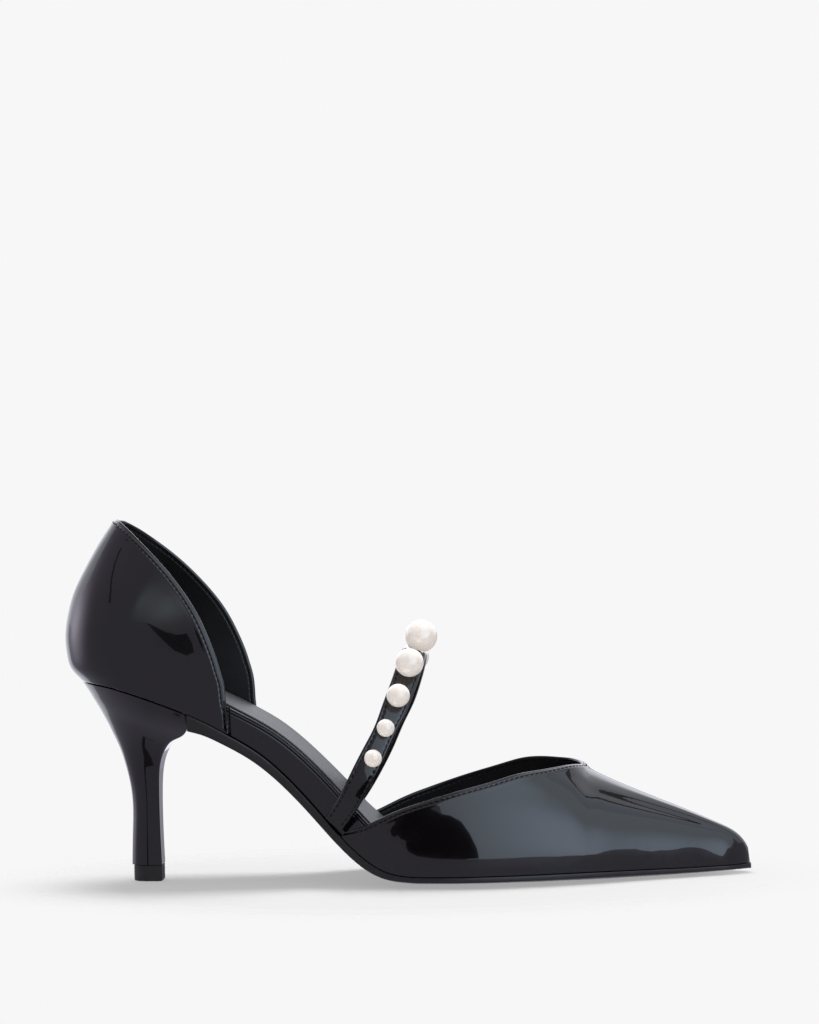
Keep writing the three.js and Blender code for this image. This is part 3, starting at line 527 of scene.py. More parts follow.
# From the bottom's middle out, up the wall, over the two beads and in to the middle of the top.
rim_below = np.array([2.1, 1.95, 1.8, 1.68, 1.56, 1.42, 1.25, 1.05, 0.9, 0.8, 0.7, 0.6, 0.48, 0.36, 0.2, 0.07, 0, 0]) * MM
rim_in = np.array([0, 0.05, 0.2, 0.34, 0.3, 0.06, -0.1, -0.1, 0.06, 0.3, 0.34, 0.2, 0.04, 0.02, 0.1, 0.34, 0.7, 1.3]) * MM
foot_in = np.array([0.7, 0.3, 0.08, 0]) * MM
foot_lift = np.array([0, 0.06, 0.25, 0.6]) * MM
halves = []
for side in (-1, 1):
    half = half_width(insole_source)
    tall = insole_top(insole_x, side)
    small = np.minimum(1, tall / (5 * MM))
    rise = np.linspace(0, 1, 10)[1:-1]
    lift_foot = fit + foot_lift * small
    lift_rim = tall - rim_below * small
    lift_wall = mix(lift_foot[:, -1:], lift_rim[:, :1], rise)
    lift = np.concatenate([0 * inner_share + fit + 0 * tall, lift_foot, lift_wall, lift_rim], 1)
    inset = np.concatenate([0 * inner_share + 0 * tall + 0.7 * MM, foot_in * small, 0 * lift_wall, rim_in * small], 1)
    lean, rise_up = bed_normal(insole_x)
    height = bed_height(insole_x) + crown_at(insole_x) + lift * rise_up
    in_vamp = ease((insole_x - strap_foot + upper_wall) / (vamp_back - strap_foot))
    in_counter = ease((counter_front(height, side) + 1.5 * MM - insole_x - lift * lean) / (0.6 * MM))
    cleared = np.minimum(1, half / (10 * MM)) * np.maximum(board_clearance * in_vamp, (upper_wall + fit) * in_counter)
    across = np.maximum(half - inset - cleared, 0)
    across[:, :len(inner_share)] *= inner_share
    top_share = inner_share[::-1]
    top_across = across[:, -1:] * top_share
    across = np.concatenate([across, top_across], 1)
    lift_top = insole_top(insole_x, side * top_share * 0.98) + 0 * top_share
    lift = np.concatenate([lift, lift_top], 1)
    halves.append(on_bed(insole_x, side * across, half, lift, insole_source))
insole_rings = np.concatenate([halves[1], halves[0][:, ::-1]], 1)
insole = piece_from_grids("insole_dressed", [closed_ends(insole_rings, (0.5, 0.0))],
                          [patent("insole_patent", 0.3, 0.12)], ["insole"], 50)

# Sock lining
# A satin grey-black synthetic leather sheet glued on the insole, with a bevelled edge.
# It ends under the vamp, and the wrapped edge of the insole stays bare beside it.
sock_thickness, sock_margin, sock_end = 0.8 * MM, 1.6 * MM, 176 * MM
sock_start = seat_back + sock_margin + board_clearance
sock_x = np.unique(np.concatenate([stations(sock_start, sock_end, 320, 0.85, 0.0),
                                   np.arange(29, 41, 0.5) * MM]))[:, None]
sock_source = mix(sock_x, sock_x - 0.7 * (sock_start - seat_back), clamp01((breast_x - sock_x) / (breast_x - sock_start)))
in_counter = board_clearance * (1 - ease((sock_x - breast_x) / (seat_width / 2)))
in_vamp = board_clearance * ease((sock_x - strap_foot + upper_wall) / (vamp_back - strap_foot))
sock_inset = sock_margin + in_counter + in_vamp
behind = clamp01((seat_width / 2 - sock_x + sock_start) / (seat_width / 2))
round_back = (seat_width / 2 - sock_inset) * np.sqrt(1 - behind**2)
sock_half = np.where(behind > 0, np.minimum(half_width(sock_source) - sock_inset, round_back),
                     half_width(sock_source) - sock_inset)
sock_half = np.maximum(sock_half, 0)
sock_in = np.array([0.15, 0, 0, 0.05, 0.2, 0.5, 1.0]) * MM
sock_up = np.array([0, 0.15, 0.4, 0.62, 0.75, 0.8, 0.8]) / 0.8
halves = []
for side in (-1, 1):
    edge_across = np.maximum(sock_half - sock_in, 0)
    fine = np.linspace(0, 1, 22)[:-1]
    across = np.concatenate([fine * edge_across[:, :1], edge_across, fine[::-1] * edge_across[:, -1:]], 1)
    up = np.concatenate([0 * fine, sock_up, 0 * fine + 1])
    share = side * across / np.maximum(half_width(sock_source), MM)
    lift = insole_top(sock_x, share) + 0.05 * MM + up * sock_thickness
    halves.append(on_bed(sock_x, side * across, half_width(sock_source), lift, sock_source))
sock_rings = np.concatenate([halves[1], halves[0][:, ::-1]], 1)
sock_finish = Finish("sock_satin_leather")
sock_cells = sock_finish.cells(1500, feature="SMOOTH_F1")
sock_cloud = sock_finish.noise(70, 3, 0.55)
sock_drawn = sock_finish.node("ShaderNodeMapping", {"Vector": sock_finish.place, "Scale": (18, 420, 18)})
sock_brush_and_sheen = sock_finish.noise(1.0, 3, 0.6, sock_drawn)
# Streaks along the length lighten the colour: partly the satin's own brushed grain, partly painted sheen.
sock_surface = sock_finish.surface(
    Base_Color=sock_finish.blend((0.05, 0.049, 0.053), (0.095, 0.094, 0.1), sock_brush_and_sheen),
    Roughness=sock_brush_and_sheen * 0.25 + 0.34, Specular_IOR_Level=0.62,
    Normal=sock_finish.bump(sock_cells, 0.05 * MM, 0.5, sock_finish.bump(sock_cloud, 0.5 * MM, 0.25)))
sock = piece_from_grids("sock_dressed", [closed_ends(sock_rings, (0.5, 0.0))], [sock_surface],
                        ["sock_lining"], 50)

# Counter
# The heel half of the upper: patent leather on a satin lining, a U in plan with a peaked back.
# Its top and front edges are folded and stitched just inside the fold, and it is lasted to the seat.
thread_finish = Finish("thread")
twist = thread_finish.noise(2500, 2, 0.5)
thread_surface = thread_finish.surface(
    Base_Color=thread_finish.blend((0.003, 0.0028, 0.0032), (0.008, 0.0075, 0.0085), twist), Roughness=0.5,
    Specular_IOR_Level=0.25)


def lining(name):
    """Satin lining leather: near black, with fine pores in the bump."""
    finish = Finish(name)
    pores = finish.cells(1700, feature="SMOOTH_F1")
    cloud = finish.noise(120, 3, 0.6)
    return finish.surface(
        Base_Color=finish.blend((0.0075, 0.007, 0.0078), (0.0125, 0.0117, 0.0128), cloud),
        Roughness=cloud * 0.12 + 0.34, Specular_IOR_Level=0.45,
        Normal=finish.bump(pores, 0.04 * MM, 0.5))


def unit(vectors):
    """Vectors divided by their own length."""
    return vectors / np.maximum(np.linalg.norm(vectors, axis=-1, keepdims=True), 1e-12)


def grid_normals(grid, outward):
    """Cross product of the differences along both ways of a grid; where points meet, the next row's."""
    normal = np.cross(np.gradient(grid, axis=0), np.gradient(grid, axis=1))
    if np.sum(normal * outward) < 0:
        normal = -normal
    size = np.linalg.norm(normal, axis=-1)
    weak = size < np.median(size) * 1e-4
    for column in range(1, grid.shape[1]):
        normal[weak[:, column], column] = normal[weak[:, column], column - 1]
    return unit(normal)


def upper_wall_piece(name, surface, edge, foot, count, rows, stitch_in, outward, creases, finishes, node):
    """Half an upper as one closed wall. Its rows run on the last's surface from the folded edge to the foot:
    first square to the edge over a band, then on straight lines of the surface's two measures. The wall's edge
    is a half round roll, and a shallow groove with a pucker at each stitch runs stitch_in from it."""
    along = np.linspace(-1, 1, count)
    (a0, b0), (a1, b1) = edge(along), foot(along)
    step = 1e-5
    start = surface(a0, b0)
    by_a = (surface(a0 + step, b0) - surface(a0 - step, b0)) / (2 * step)
    by_b = (surface(a0, b0 + step) - surface(a0, b0 - step)) / (2 * step)
    tangent = unit(np.gradient(start, axis=0))
    inward = unit(np.cross(tangent, unit(np.cross(by_a, by_b))))
    toward = surface(mix(a0, a1, 0.05), mix(b0, b1, 0.05)) - start
    inward *= np.sign(np.sum(inward * toward))
    aa, ab, bb = (np.sum(u * v, -1) for u, v in ((by_a, by_a), (by_a, by_b), (by_b, by_b)))
    ia, ib = np.sum(by_a * inward, -1), np.sum(by_b * inward, -1)
    area = aa * bb - ab * ab
    step_a, step_b = (ia * bb - ib * ab) / area, (aa * ib - ab * ia) / area
    roll = upper_wall / 2
    band = np.concatenate([np.arange(0, 1.8, 0.15), np.arange(1.8, 3.4, 0.2), np.arange(3.5, 6.1, 0.6)]) * MM + roll
    room = np.minimum(1, 0.55 * np.linalg.norm(surface(a1, b1) - start, axis=-1) / band[-1])
    depth = band[None, :] * room[:, None]
    a_band = a0[:, None] + step_a[:, None] * depth
    b_band = b0[:, None] + step_b[:, None] * depth
    rest = mix(np.linspace(0, 1, rows + 1), np.sin(np.linspace(0, math.pi / 2, rows + 1)), 0.55)[1:]
    a_all = np.concatenate([a_band, mix(a_band[:, -1:], a1[:, None], rest)], 1)
    b_all = np.concatenate([b_band, mix(b_band[:, -1:], b1[:, None], rest)], 1)
    grid = surface(a_all, b_all)
    normal = grid_normals(grid, outward(grid))
    length = np.concatenate([[0], np.cumsum(np.linalg.norm(np.diff(start, axis=0), axis=1))])
    pitch = 2.0 * MM
    pucker = 0.72 + 0.28 * np.cos(2 * math.pi * length / pitch)[:, None]
    from_stitch = (depth - stitch_in * np.minimum(1, room[:, None])) / (0.3 * MM)
    groove = np.exp(-from_stitch**2) * pucker * 0.3 * MM
    fold = -0.42 * MM * np.maximum(0, 1 - (depth - roll) / (0.5 * MM)) ** 2
    swell = 0.05 * MM * np.exp(-((depth - stitch_in - 0.9 * MM) / (0.5 * MM)) ** 2)
    height = np.zeros(grid.shape[:2])
    height[:, :len(band)] = fold + swell - groove
    outer = grid + normal * (height + creases(a_all, b_all))[..., None]
    inner_height = np.zeros(grid.shape[:2])
    inner_height[:, :len(band)] = groove * 0.7
    inner = grid - normal * (upper_wall - inner_height)[..., None]

    def rounded(first, last, way, reach, turns):
        """Half an ellipse from first to last, standing out by reach along way."""
        middle, arm = (first + last) / 2, (first - last) / 2
        angle = np.linspace(0, math.pi, turns + 2)[1:-1]
        return (middle[:, None] + np.cos(angle)[:, None] * arm[:, None]
                + np.sin(angle)[:, None] * (way * reach)[:, None])

    down = unit(grid[:, -1] - grid[:, -3])
    foot_roll = rounded(outer[:, -1], inner[:, -1], down, 0.9 * fit, 5)
    edge_roll = rounded(inner[:, 0], outer[:, 0], -inward, roll, 9)
    loops = np.concatenate([outer, foot_roll, inner[:, ::-1], edge_roll], 1)
    numbers = np.zeros(loops.shape[1], int)
    numbers[outer.shape[1] + 2:2 * outer.shape[1] + 4] = 1
    ends = closed_ends(loops, (0.5, 0.0))
    piece = piece_from_grids(name, [(ends, numbers)], finishes, [node], 60)
    at = int(np.argmin(np.abs(band - stitch_in)))
    return piece, outer[:, at], inner[:, at], normal[:, at]


def thread_row(name, path, normal, lift, pitch, length, thick, lean=0.12):
    """A row of stitches along a path: each a bead squeezed from a ball, its ends dipping into the leather, laid a
    little across the path."""
    gone = np.concatenate([[0], np.cumsum(np.linalg.norm(np.diff(path, axis=0), axis=1))])
    places = np.arange(pitch, gone[-1] - pitch, pitch)
    spot = np.stack([np.interp(places, gone, path[:, k]) for k in range(3)], -1)
    up = unit(np.stack([np.interp(places, gone, normal[:, k]) for k in range(3)], -1))
    ahead = np.stack([np.interp(places + 0.2 * MM, gone, path[:, k]) for k in range(3)], -1)
    way = unit(ahead - spot)
    cross = unit(np.cross(up, way))
    way, cross = unit(way + lean * cross), unit(cross - lean * way)
    theta, phi = np.linspace(0, math.pi, 7)[:, None], np.linspace(0, 2 * math.pi, 9)[None, :-1]
    ball = np.stack([np.cos(theta) + 0 * phi, np.sin(theta) * np.cos(phi), np.sin(theta) * np.sin(phi)], -1)
    ball[..., 2] -= 0.9 * ball[..., 0] ** 2
    axes = np.stack([way * length / 2, cross * thick / 2, up * thick / 2], 1)
    points = spot[:, None, None] + np.einsum("rck,nkd->nrcd", ball, axes) + (up * lift)[:, None, None]
    return piece_from_grids(name, list(points), [thread_surface], (), 60)


def counter_surface(turn, z):
    """The last's heel: a quarter ellipse round the back on each side, then straight sides. The sign of the
    turn is the side."""
    angle = np.minimum(np.abs(turn), 1) * math.pi / 2
    depth = counter_side(z) - counter_back(z)
    ahead = depth * (1 - np.cos(angle)) + np.maximum(0, np.abs(turn) - 1) * seat_width
    return np.stack([back_x + counter_back(z) + ahead, np.sign(turn) * counter_half(z) * np.sin(angle), z], -1)


EDGE_TURN = 0.74


def counter_edge(along):
    """From the outer front corner's foot up over the peak to the inner one: the top edge by its table, then the
    straight run of the front edge."""
    side = np.sign(along) + (along == 0)
    reach = np.where(side < 0, outer_reach, inner_reach)
    share = clamp01(np.abs(along) / EDGE_TURN)
    drop = corner_drop * share
    z = heel_height + counter_height - drop
    turn = counter_turn(peak_x + reach * counter_top(drop), z)
    foot_turn, foot_z = counter_foot(reach)
    low = clamp01((np.abs(along) - EDGE_TURN) / (1 - EDGE_TURN))
    return side * mix(turn, foot_turn, low) * ease(share * 60), mix(z, foot_z, low)


def counter_base(along):
    """The feather line of the counter, from its outer front corner round the back to the inner one."""
    side = np.sign(along) + (along == 0)
    reach = np.where(side < 0, outer_reach, inner_reach)
    turn = counter_foot(reach)[0] * np.abs(along)
    z = np.full_like(along, heel_height)
    for _ in range(14):
        z = feather_height(counter_surface(turn, z)[..., 0])
    return side * turn, z


def soft_creases(marks, metre_a, metre_b):
    """Troughs and ridges laid one by one: each a line between two places with a width and a depth. The depth falls off
    with the square of the distance and towards the line's ends."""
    def height(a, b):
        total = np.zeros(np.broadcast(a, b).shape)
        for (a0, b0), (a1, b1), width, deep in marks:
            u, v = (a - a0) * metre_a, (b - b0) * metre_b
            p, q = (a1 - a0) * metre_a, (b1 - b0) * metre_b
            share = (u * p + v * q) / (p * p + q * q)
            away = np.hypot(u - clamp01(share) * p, v - clamp01(share) * q)
            total += deep * np.exp(-((away / width) ** 2)) * (0.35 + 0.65 * np.sin(math.pi * clamp01(share)))
        return total
    return height


# Turn and height of both ends, width and depth: the stiffener's soft edge and the pull at the seat.
counter_marks = [
    ((-1.25, 0.066), (-1.05, 0.08), 5 * MM, -0.16 * MM),
    ((-0.75, 0.078), (-0.35, 0.078), 6 * MM, 0.14 * MM),
    ((1.3, 0.066), (1.0, 0.08), 5 * MM, -0.16 * MM),
    ((0.75, 0.078), (0.35, 0.078), 6 * MM, 0.14 * MM),
    ((-1.1, 0.104), (-0.9, 0.088), 5 * MM, -0.2 * MM),
]
counter, counter_seam, counter_inside, counter_normal = upper_wall_piece(
    "counter_dressed", counter_surface, counter_edge, counter_base, 560, 34, 1.75 * MM,
    lambda grid: grid * [0, 1, 0] + [-1 * MM, 0, 0], soft_creases(counter_marks, 0.035, 1.0),
    [patent("counter_patent", 0.45, 0.57), lining("counter_lining")], "counter")
thread_row("counter_stitches", counter_seam, counter_normal, 0.05 * MM, 2.0 * MM, 1.75 * MM, 0.46 * MM)
thread_row("counter_lining_stitches", counter_inside, -counter_normal, 0.05 * MM, 2.0 * MM, 1.75 * MM, 0.44 * MM)

# Vamp
# The pointed front half of the upper, lasted over a ridged toe: patent leather on a satin lining.
# Its throat is cut to a soft U, and the folded edge is stitched close to the fold.
throat_x, instep_height, last_instep = 155.8 * MM, 40.4 * MM, 79 * MM
toe_ridge = spline_through(
    [(0, 1), (0.035, 0.945), (0.085, 0.9), (0.16, 0.848), (0.3, 0.758), (0.45, 0.667), (0.6, 0.577),
     (0.75, 0.482), (0.88, 0.394), (1, 0.3)], toe_x - throat_x, instep_height, throat_x)
instep_ridge = spline_through(
    [(0, 0), (0.035, 0.073), (0.095, 0.165), (0.175, 0.29), (0.34, 0.485), (0.5, 0.635), (0.67, 0.77), (1, 1)],
    throat_x - vamp_back, last_instep - instep_height)
# Root of the share of the way from throat to wing end, then the share of the quarter turn cut away.
outer_cut = spline_through(
    [(0, 0), (0.19, 0.219), (0.31, 0.342), (0.42, 0.454), (0.51, 0.525), (0.6, 0.597), (0.71, 0.673), (0.82, 0.745),
     (0.91, 0.824), (0.96, 0.905), (1, 0.985)])
inner_cut = spline_through(
    [(0, 0), (0.19, 0.212), (0.31, 0.324), (0.42, 0.428), (0.51, 0.503), (0.6, 0.584), (0.71, 0.671), (0.82, 0.75),
     (0.91, 0.83), (0.96, 0.909), (1, 0.985)])


def vamp_surface(x, turn):
    """The last's forepart: at each place a half ellipse from feather line to feather line over the ridge. The
    turn is 0 on the ridge and a quarter at the feather line, negative on the outer side."""
    foot = feather_height(x)
    ridge = np.where(x < throat_x, instep_height + instep_ridge(throat_x - x), toe_ridge(x))
    rise = (ridge - foot) * nose_share(x, 3)
    y = plan_middle(x) + plan_half(x) * nose_share(x, 2) * np.sin(turn)
    return np.stack(np.broadcast_arrays(x, y, foot + rise * np.cos(turn)), -1)


NOSE_PART = 0.2


def vamp_edge(along):
    """The topline, from the outer wing's end round the throat to the inner one's."""
    size = np.abs(along)
    size = np.where(size < NOSE_PART, size * 0.6, mix(NOSE_PART * 0.6, 1, (size - NOSE_PART) / (1 - NOSE_PART)))
    cut = np.where(along < 0, outer_cut(size), inner_cut(size))
    return throat_x - (throat_x - vamp_back) * size**2, np.sign(along) * cut * math.pi / 2


def vamp_base(along):
    """The feather line from the outer wing's end to the toe, the toe's tip, and back on the inner side."""
    size = np.abs(along)
    side = clamp01((1 - size) / (1 - NOSE_PART))
    x = mix(vamp_back, toe_x, mix(side, np.sin(side * math.pi / 2), 0.6))
    turn = np.sign(along) * math.pi / 2 * clamp01(size / NOSE_PART)
    return x, turn


# Place and turn of both ends, width and depth: the pulls of lasting beside the ridge and at the wings.
vamp_marks = [
    ((0.148, -0.62), (0.2, -0.5), 3.4 * MM, -0.34 * MM),
    ((0.158, -0.3), (0.205, -0.22), 2.6 * MM, 0.22 * MM),
    ((0.148, 0.62), (0.2, 0.5), 3.4 * MM, -0.34 * MM),
    ((0.158, 0.3), (0.205, 0.22), 2.6 * MM, 0.22 * MM),
    ((0.112, -1.05), (0.15, -0.95), 4 * MM, -0.3 * MM),
    ((0.112, 1.05), (0.15, 0.95), 4 * MM, -0.3 * MM),
    ((0.086, -1.35), (0.104, -1.2), 3 * MM, 0.24 * MM),
    ((0.086, 1.35), (0.104, 1.2), 3 * MM, 0.24 * MM),
    ((0.118, -1.38), (0.18, -1.36), 2.6 * MM, 0.16 * MM),
]
vamp, vamp_seam, vamp_inside, vamp_normal = upper_wall_piece(
    "vamp_dressed", vamp_surface, vamp_edge, vamp_base, 660, 40, 1.5 * MM,
    lambda grid: grid * [0, 1, 0] + [0, 0, 10 * MM], soft_creases(vamp_marks, 1.0, 0.034),
    [patent("vamp_patent", 0.5, 0.83), lining("vamp_lining")], "vamp")
thread_row("vamp_stitches", vamp_seam, vamp_normal, 0.05 * MM, 2.0 * MM, 1.75 * MM, 0.44 * MM)
thread_row("vamp_lining_stitches", vamp_inside, -vamp_normal, 0.05 * MM, 2.0 * MM, 1.75 * MM, 0.42 * MM)

# Strap
# A padded band of patent leather with a leather backing, 9 mm wide, sewn along both edges.
# It leans forward over the instep; its lower ends are cut square and tucked against the sole's edge.
strap_foot_z = feather_height(strap_foot) + 0.4 * MM
strap_top_x, strap_top_z = 96.1 * MM, 80 * MM
strap_half_span, strap_shoulder = 30 * MM, 35 * MM
strap_thick, strap_wide, strap_end_wide = 2.4 * MM, 9.2 * MM, 7.6 * MM
strap_foot_half = float(half_width(strap_foot)) + strap_thick / 2 + 2 * fit
arch_power = 2 / 1.75


def strap_side_x(z):
    """Seen from the side: leaning forward and straightening towards its top, by a parabola."""
    share = (z - strap_foot_z) / (strap_top_z - strap_foot_z)
    bow = 1.3 * MM * np.exp(-(((z - 26 * MM) / (13 * MM)) ** 2))
    return mix(strap_foot, strap_top_x, share * 1.48 - 0.48 * share * share) + bow


leg = np.linspace(0, 1, 400)[:-1]
arch = np.linspace(0, math.pi / 2, 1600)
half_z = np.concatenate([mix(strap_foot_z, strap_shoulder, leg),
                         mix(strap_shoulder, strap_top_z, np.sin(arch) ** arch_power)])
half_y = np.concatenate([mix(strap_foot_half, strap_half_span, ease(leg)),
                         strap_half_span * np.maximum(np.cos(arch), 0) ** arch_power])
path_y = np.concatenate([-half_y, half_y[-2::-1]])
path_z = np.concatenate([half_z, half_z[-2::-1]])
strap_path = np.stack([strap_side_x(path_z), path_y, path_z], -1)
strap_gone = np.concatenate([[0], np.cumsum(np.linalg.norm(np.diff(strap_path, axis=0), axis=1))])
strap_length = strap_gone[-1]


def strap_frame(distance):
    """At distances along the strap: the place, then the directions along it, across it and out of it."""
    def at(value):
        return np.stack([np.interp(value, strap_gone, strap_path[:, k]) for k in range(3)], -1)
    place = at(distance)
    reach = 0.6 * MM
    way = unit(at(distance + reach) - at(distance - reach))
    step = 0.5 * MM
    lean = (strap_side_x(place[:, 2] + step) - strap_side_x(place[:, 2] - step)) / (2 * step)
    level = np.stack([np.ones_like(lean), np.zeros_like(lean), -lean], -1)
    cross = unit(level - way * np.sum(level * way, -1, keepdims=True))
    return place, way, cross, np.cross(cross, way)


# Half of the section: distance in from the edge, then height over the middle of the band. The front
# layer is rolled over; a seam line parts it from the backing.
strap_in = np.array([-1, 3.4, 2.4, 1.75, 1.45, 1.25, 1.05, 0.75, 0.45, 0.22, 0.07, 0.0, 0.03, 0.12, 0.3, 0.36, 0.3, 0.14,
                     0.1, 0.16, 0.34, 0.62, 1.05, 1.25, 1.5, 2.4, -1]) * MM
strap_up = np.array([1.2, 1.19, 1.15, 1.09, 0.98, 0.93, 0.98, 1.04, 0.96, 0.76, 0.5, 0.26, 0.05, -0.1, -0.2, -0.27,
                     -0.34, -0.44, -0.66, -0.86, -1.05, -1.14, -1.14, -1.1, -1.16, -1.2, -1.2]) * MM
strap_along = np.linspace(0, strap_length, 900)
strap_place, strap_way, strap_cross, strap_out = strap_frame(strap_along)
from_end = np.minimum(strap_along, strap_length - strap_along)
pinch = 1 - 0.13 * np.exp(-(((from_end - 36 * MM) / (11 * MM)) ** 2))
pinch = pinch + 0.02 * np.sin(from_end / (3.4 * MM)) * np.exp(-(((from_end - 42 * MM) / (16 * MM)) ** 2))
strap_half = (mix(strap_end_wide, strap_wide, ease(from_end / strap_shoulder)) * pinch)[:, None] / 2
reach_out = np.where(strap_in < 0, 0, strap_half - strap_in)
stitch_wave = np.cos(2 * math.pi * strap_along / (2.3 * MM))[:, None]
dip = np.exp(-(((strap_in - 1.25 * MM) / (0.3 * MM)) ** 2)) * (strap_up > 0)
rise_up = strap_up + 0 * strap_half - 0.06 * MM * stitch_wave * dip
section_a = np.concatenate([reach_out, -reach_out[:, -2:0:-1]], 1)
section_b = np.concatenate([rise_up, rise_up[:, -2:0:-1]], 1)
strap_rings = (strap_place[:, None] + section_a[..., None] * strap_cross[:, None]
               + section_b[..., None] * strap_out[:, None])
strap = piece_from_grids("strap_dressed", [closed_ends(strap_rings, (0.97, 0.5, 0.0))],
                         [patent("strap_patent", 0.4, 0.19)], ["strap"], 60)
for side in (-1, 1):
    seam = strap_half - 1.25 * MM
    front = strap_place + side * seam * strap_cross + 0.95 * MM * strap_out
    back = strap_place + side * seam * strap_cross - 1.12 * MM * strap_out
    word = "left" if side < 0 else "right"
    thread_row(f"strap_stitches_{word}", front, strap_out, 0.05 * MM, 2.0 * MM, 1.75 * MM, 0.4 * MM)
    thread_row(f"strap_back_stitches_{word}", back, -strap_out, 0.0, 2.3 * MM, 1.6 * MM, 0.36 * MM)

# Pearls
# Nine round imitation pearls, the largest on top of the instep, graded towards both sides.
# Each is ground flat where it sits and fixed to the strap by a short peg.
pearl_finish = Finish("pearl_painted_glow")
pearl_cloud = pearl_finish.noise(130, 3, 0.5)
pearl_layers = pearl_finish.noise(900, 3, 0.6)
# The emission is a painted warm glow. It lightens the pearls all over and tints their shaded lower sides beige, though
# they are no lamp.
pearl_surface = pearl_finish.surface(
    Base_Color=pearl_finish.blend((0.91, 0.89, 0.86), (0.94, 0.93, 0.91), pearl_cloud),
    Emission_Color=pearl_finish.blend((0.92, 0.78, 0.68), (0.96, 0.84, 0.75), pearl_cloud), Emission_Strength=0.42,
    Roughness=pearl_layers * 0.08 + 0.3, Subsurface_Weight=0.12, Subsurface_Radius=(0.6, 0.45, 0.35),
    Subsurface_Scale=0.003, Coat_Weight=0.9, Coat_Roughness=0.08, Coat_IOR=1.8,
    Normal=pearl_finish.bump(pearl_layers, 0.012 * MM, 0.5))
pearl_sizes = np.array([11.6, 10.1, 8.2, 6.25, 6.2]) * MM
pearl_gap, pearl_flat_share = 3.7 * MM, 0.07
pearl_places = np.array([0, 14.95, 27.5, 39.3, 50.3]) * MM
pearl_shift = np.array([0.9, -0.2, -0.25, 0, 0.6]) * MM


def turned(profile, frame_at, count=56):
    """A profile of (radius, height) turned about the out direction of a place on the strap."""
    place, way, cross, out = frame_at
    turn = np.linspace(0, 2 * math.pi, count, endpoint=False)
    ring = np.cos(turn)[:, None] * cross + np.sin(turn)[:, None] * way
    return place + profile[:, 0, None, None] * ring + profile[:, 1, None, None] * out


pegs = []
for number, size in enumerate(pearl_sizes):
    for side, word in ((-1, "outer"), (1, "inner")):
        if number == 0 and side > 0:
            continue
        name = "pearl_center" if number == 0 else f"pearl_{word}_{number}"
        place, way, cross, out = (v[0] for v in strap_frame(
            np.array([strap_length / 2 + side * pearl_places[number]])))
        radius = size / 2
        flat = math.acos(1 - 2 * pearl_flat_share)
        turn = np.linspace(flat, math.pi, 44)
        ball = np.stack([radius * np.sin(turn), radius * (1 - 2 * pearl_flat_share - np.cos(turn))], -1)
        ball = np.concatenate([[[0, 0]], ball])
        foot = place + out * (strap_thick / 2 + fit) + cross * pearl_shift[number]
        piece_from_grids(name + "_dressed", [turned(ball, (foot, way, cross, out))], [pearl_surface],
                         [name], 50)
        peg = np.array([(0, -fit), (0.42, -fit), (0.42, -0.02 * MM), (0, -0.02 * MM)])
        peg[:, 0] *= radius * math.sin(flat)
        pegs.append(turned(peg, (foot, way, cross, out), 24))
piece_from_grids("pearl_pegs", pegs, [thread_surface], (), 50)

# Studio
# A pale floor that fades into the backdrop, one soft lamp overhead, and light and black cards that
# only the gloss sees, placed where the photo's reflections fall.
scene = bpy.context.scene
scene.view_settings.view_transform = "Standard"
BACKDROP = 0.93
world = bpy.data.worlds.new("studio")
scene.world = world
world.use_nodes = True
sky = world.node_tree
sky.nodes.clear()
paths = sky.nodes.new("ShaderNodeLightPath")
levels = []
for colour, strength in (((1, 1, 1), BACKDROP), ((0.96, 0.92, 1.12), 0.37), ((1, 1, 1), 0.36)):
    level = sky.nodes.new("ShaderNodeBackground")
    level.inputs["Color"].default_value = (*colour, 1)
    level.inputs["Strength"].default_value = strength
    levels.append(level)
seen, glossy, rest = levels
by_gloss, by_eye = sky.nodes.new("ShaderNodeMixShader"), sky.nodes.new("ShaderNodeMixShader")
sky.links.new(paths.outputs["Is Glossy Ray"], by_gloss.inputs[0])
sky.links.new(rest.outputs[0], by_gloss.inputs[1])
sky.links.new(glossy.outputs[0], by_gloss.inputs[2])
sky.links.new(paths.outputs["Is Camera Ray"], by_eye.inputs[0])
sky.links.new(by_gloss.outputs[0], by_eye.inputs[1])
sky.links.new(seen.outputs[0], by_eye.inputs[2])
sky.links.new(by_eye.outputs[0], sky.nodes.new("ShaderNodeOutputWorld").inputs[0])


def stage_plane(name, corners, material, for_gloss=True):
    """A flat staged card with any outline; a card for the gloss is seen by nothing else."""
    mesh = bpy.data.meshes.new(name)
    mesh.from_pydata(corners, [], [tuple(range(len(corners)))])
    mesh.materials.append(material)
    card = bpy.data.objects.new(name, mesh)
    scene.collection.objects.link(card)
    if for_gloss:
        card.visible_camera = card.visible_diffuse = card.visible_shadow = False
        card.visible_transmission = card.visible_volume_scatter = False
    return card


def glow(name, middle, edge, centre, stretch, alpha=(1.0, 1.0)):
    """A card's light: one colour at a centre and another past a stretched distance, with its own alpha."""
    finish = Finish(name)
    moved = finish.node("ShaderNodeVectorMath", [finish.place, centre], output="Vector", operation="SUBTRACT")
    scaled = finish.node("ShaderNodeVectorMath", [moved, stretch], output="Vector", operation="MULTIPLY")
    away = finish.node("ShaderNodeVectorMath", [scaled], output="Value", operation="LENGTH")
    share = finish.node("ShaderNodeMapRange", {"Value": away}, interpolation_type="SMOOTHSTEP")
    seen_share = finish.node("ShaderNodeMapRange", {"Value": share, "To Min": alpha[0], "To Max": alpha[1]})
    return finish.surface(Base_Color=(0, 0, 0, 1), Roughness=1.0, Specular_IOR_Level=0.0,
                          Emission_Color=finish.blend(middle, edge, share), Emission_Strength=1.0, Alpha=seen_share)


def upright(y, outline):
    """Corners of a card that stands square to the shoe's width, from places along it and heights."""
    return [(x, y, z) for x, z in outline]


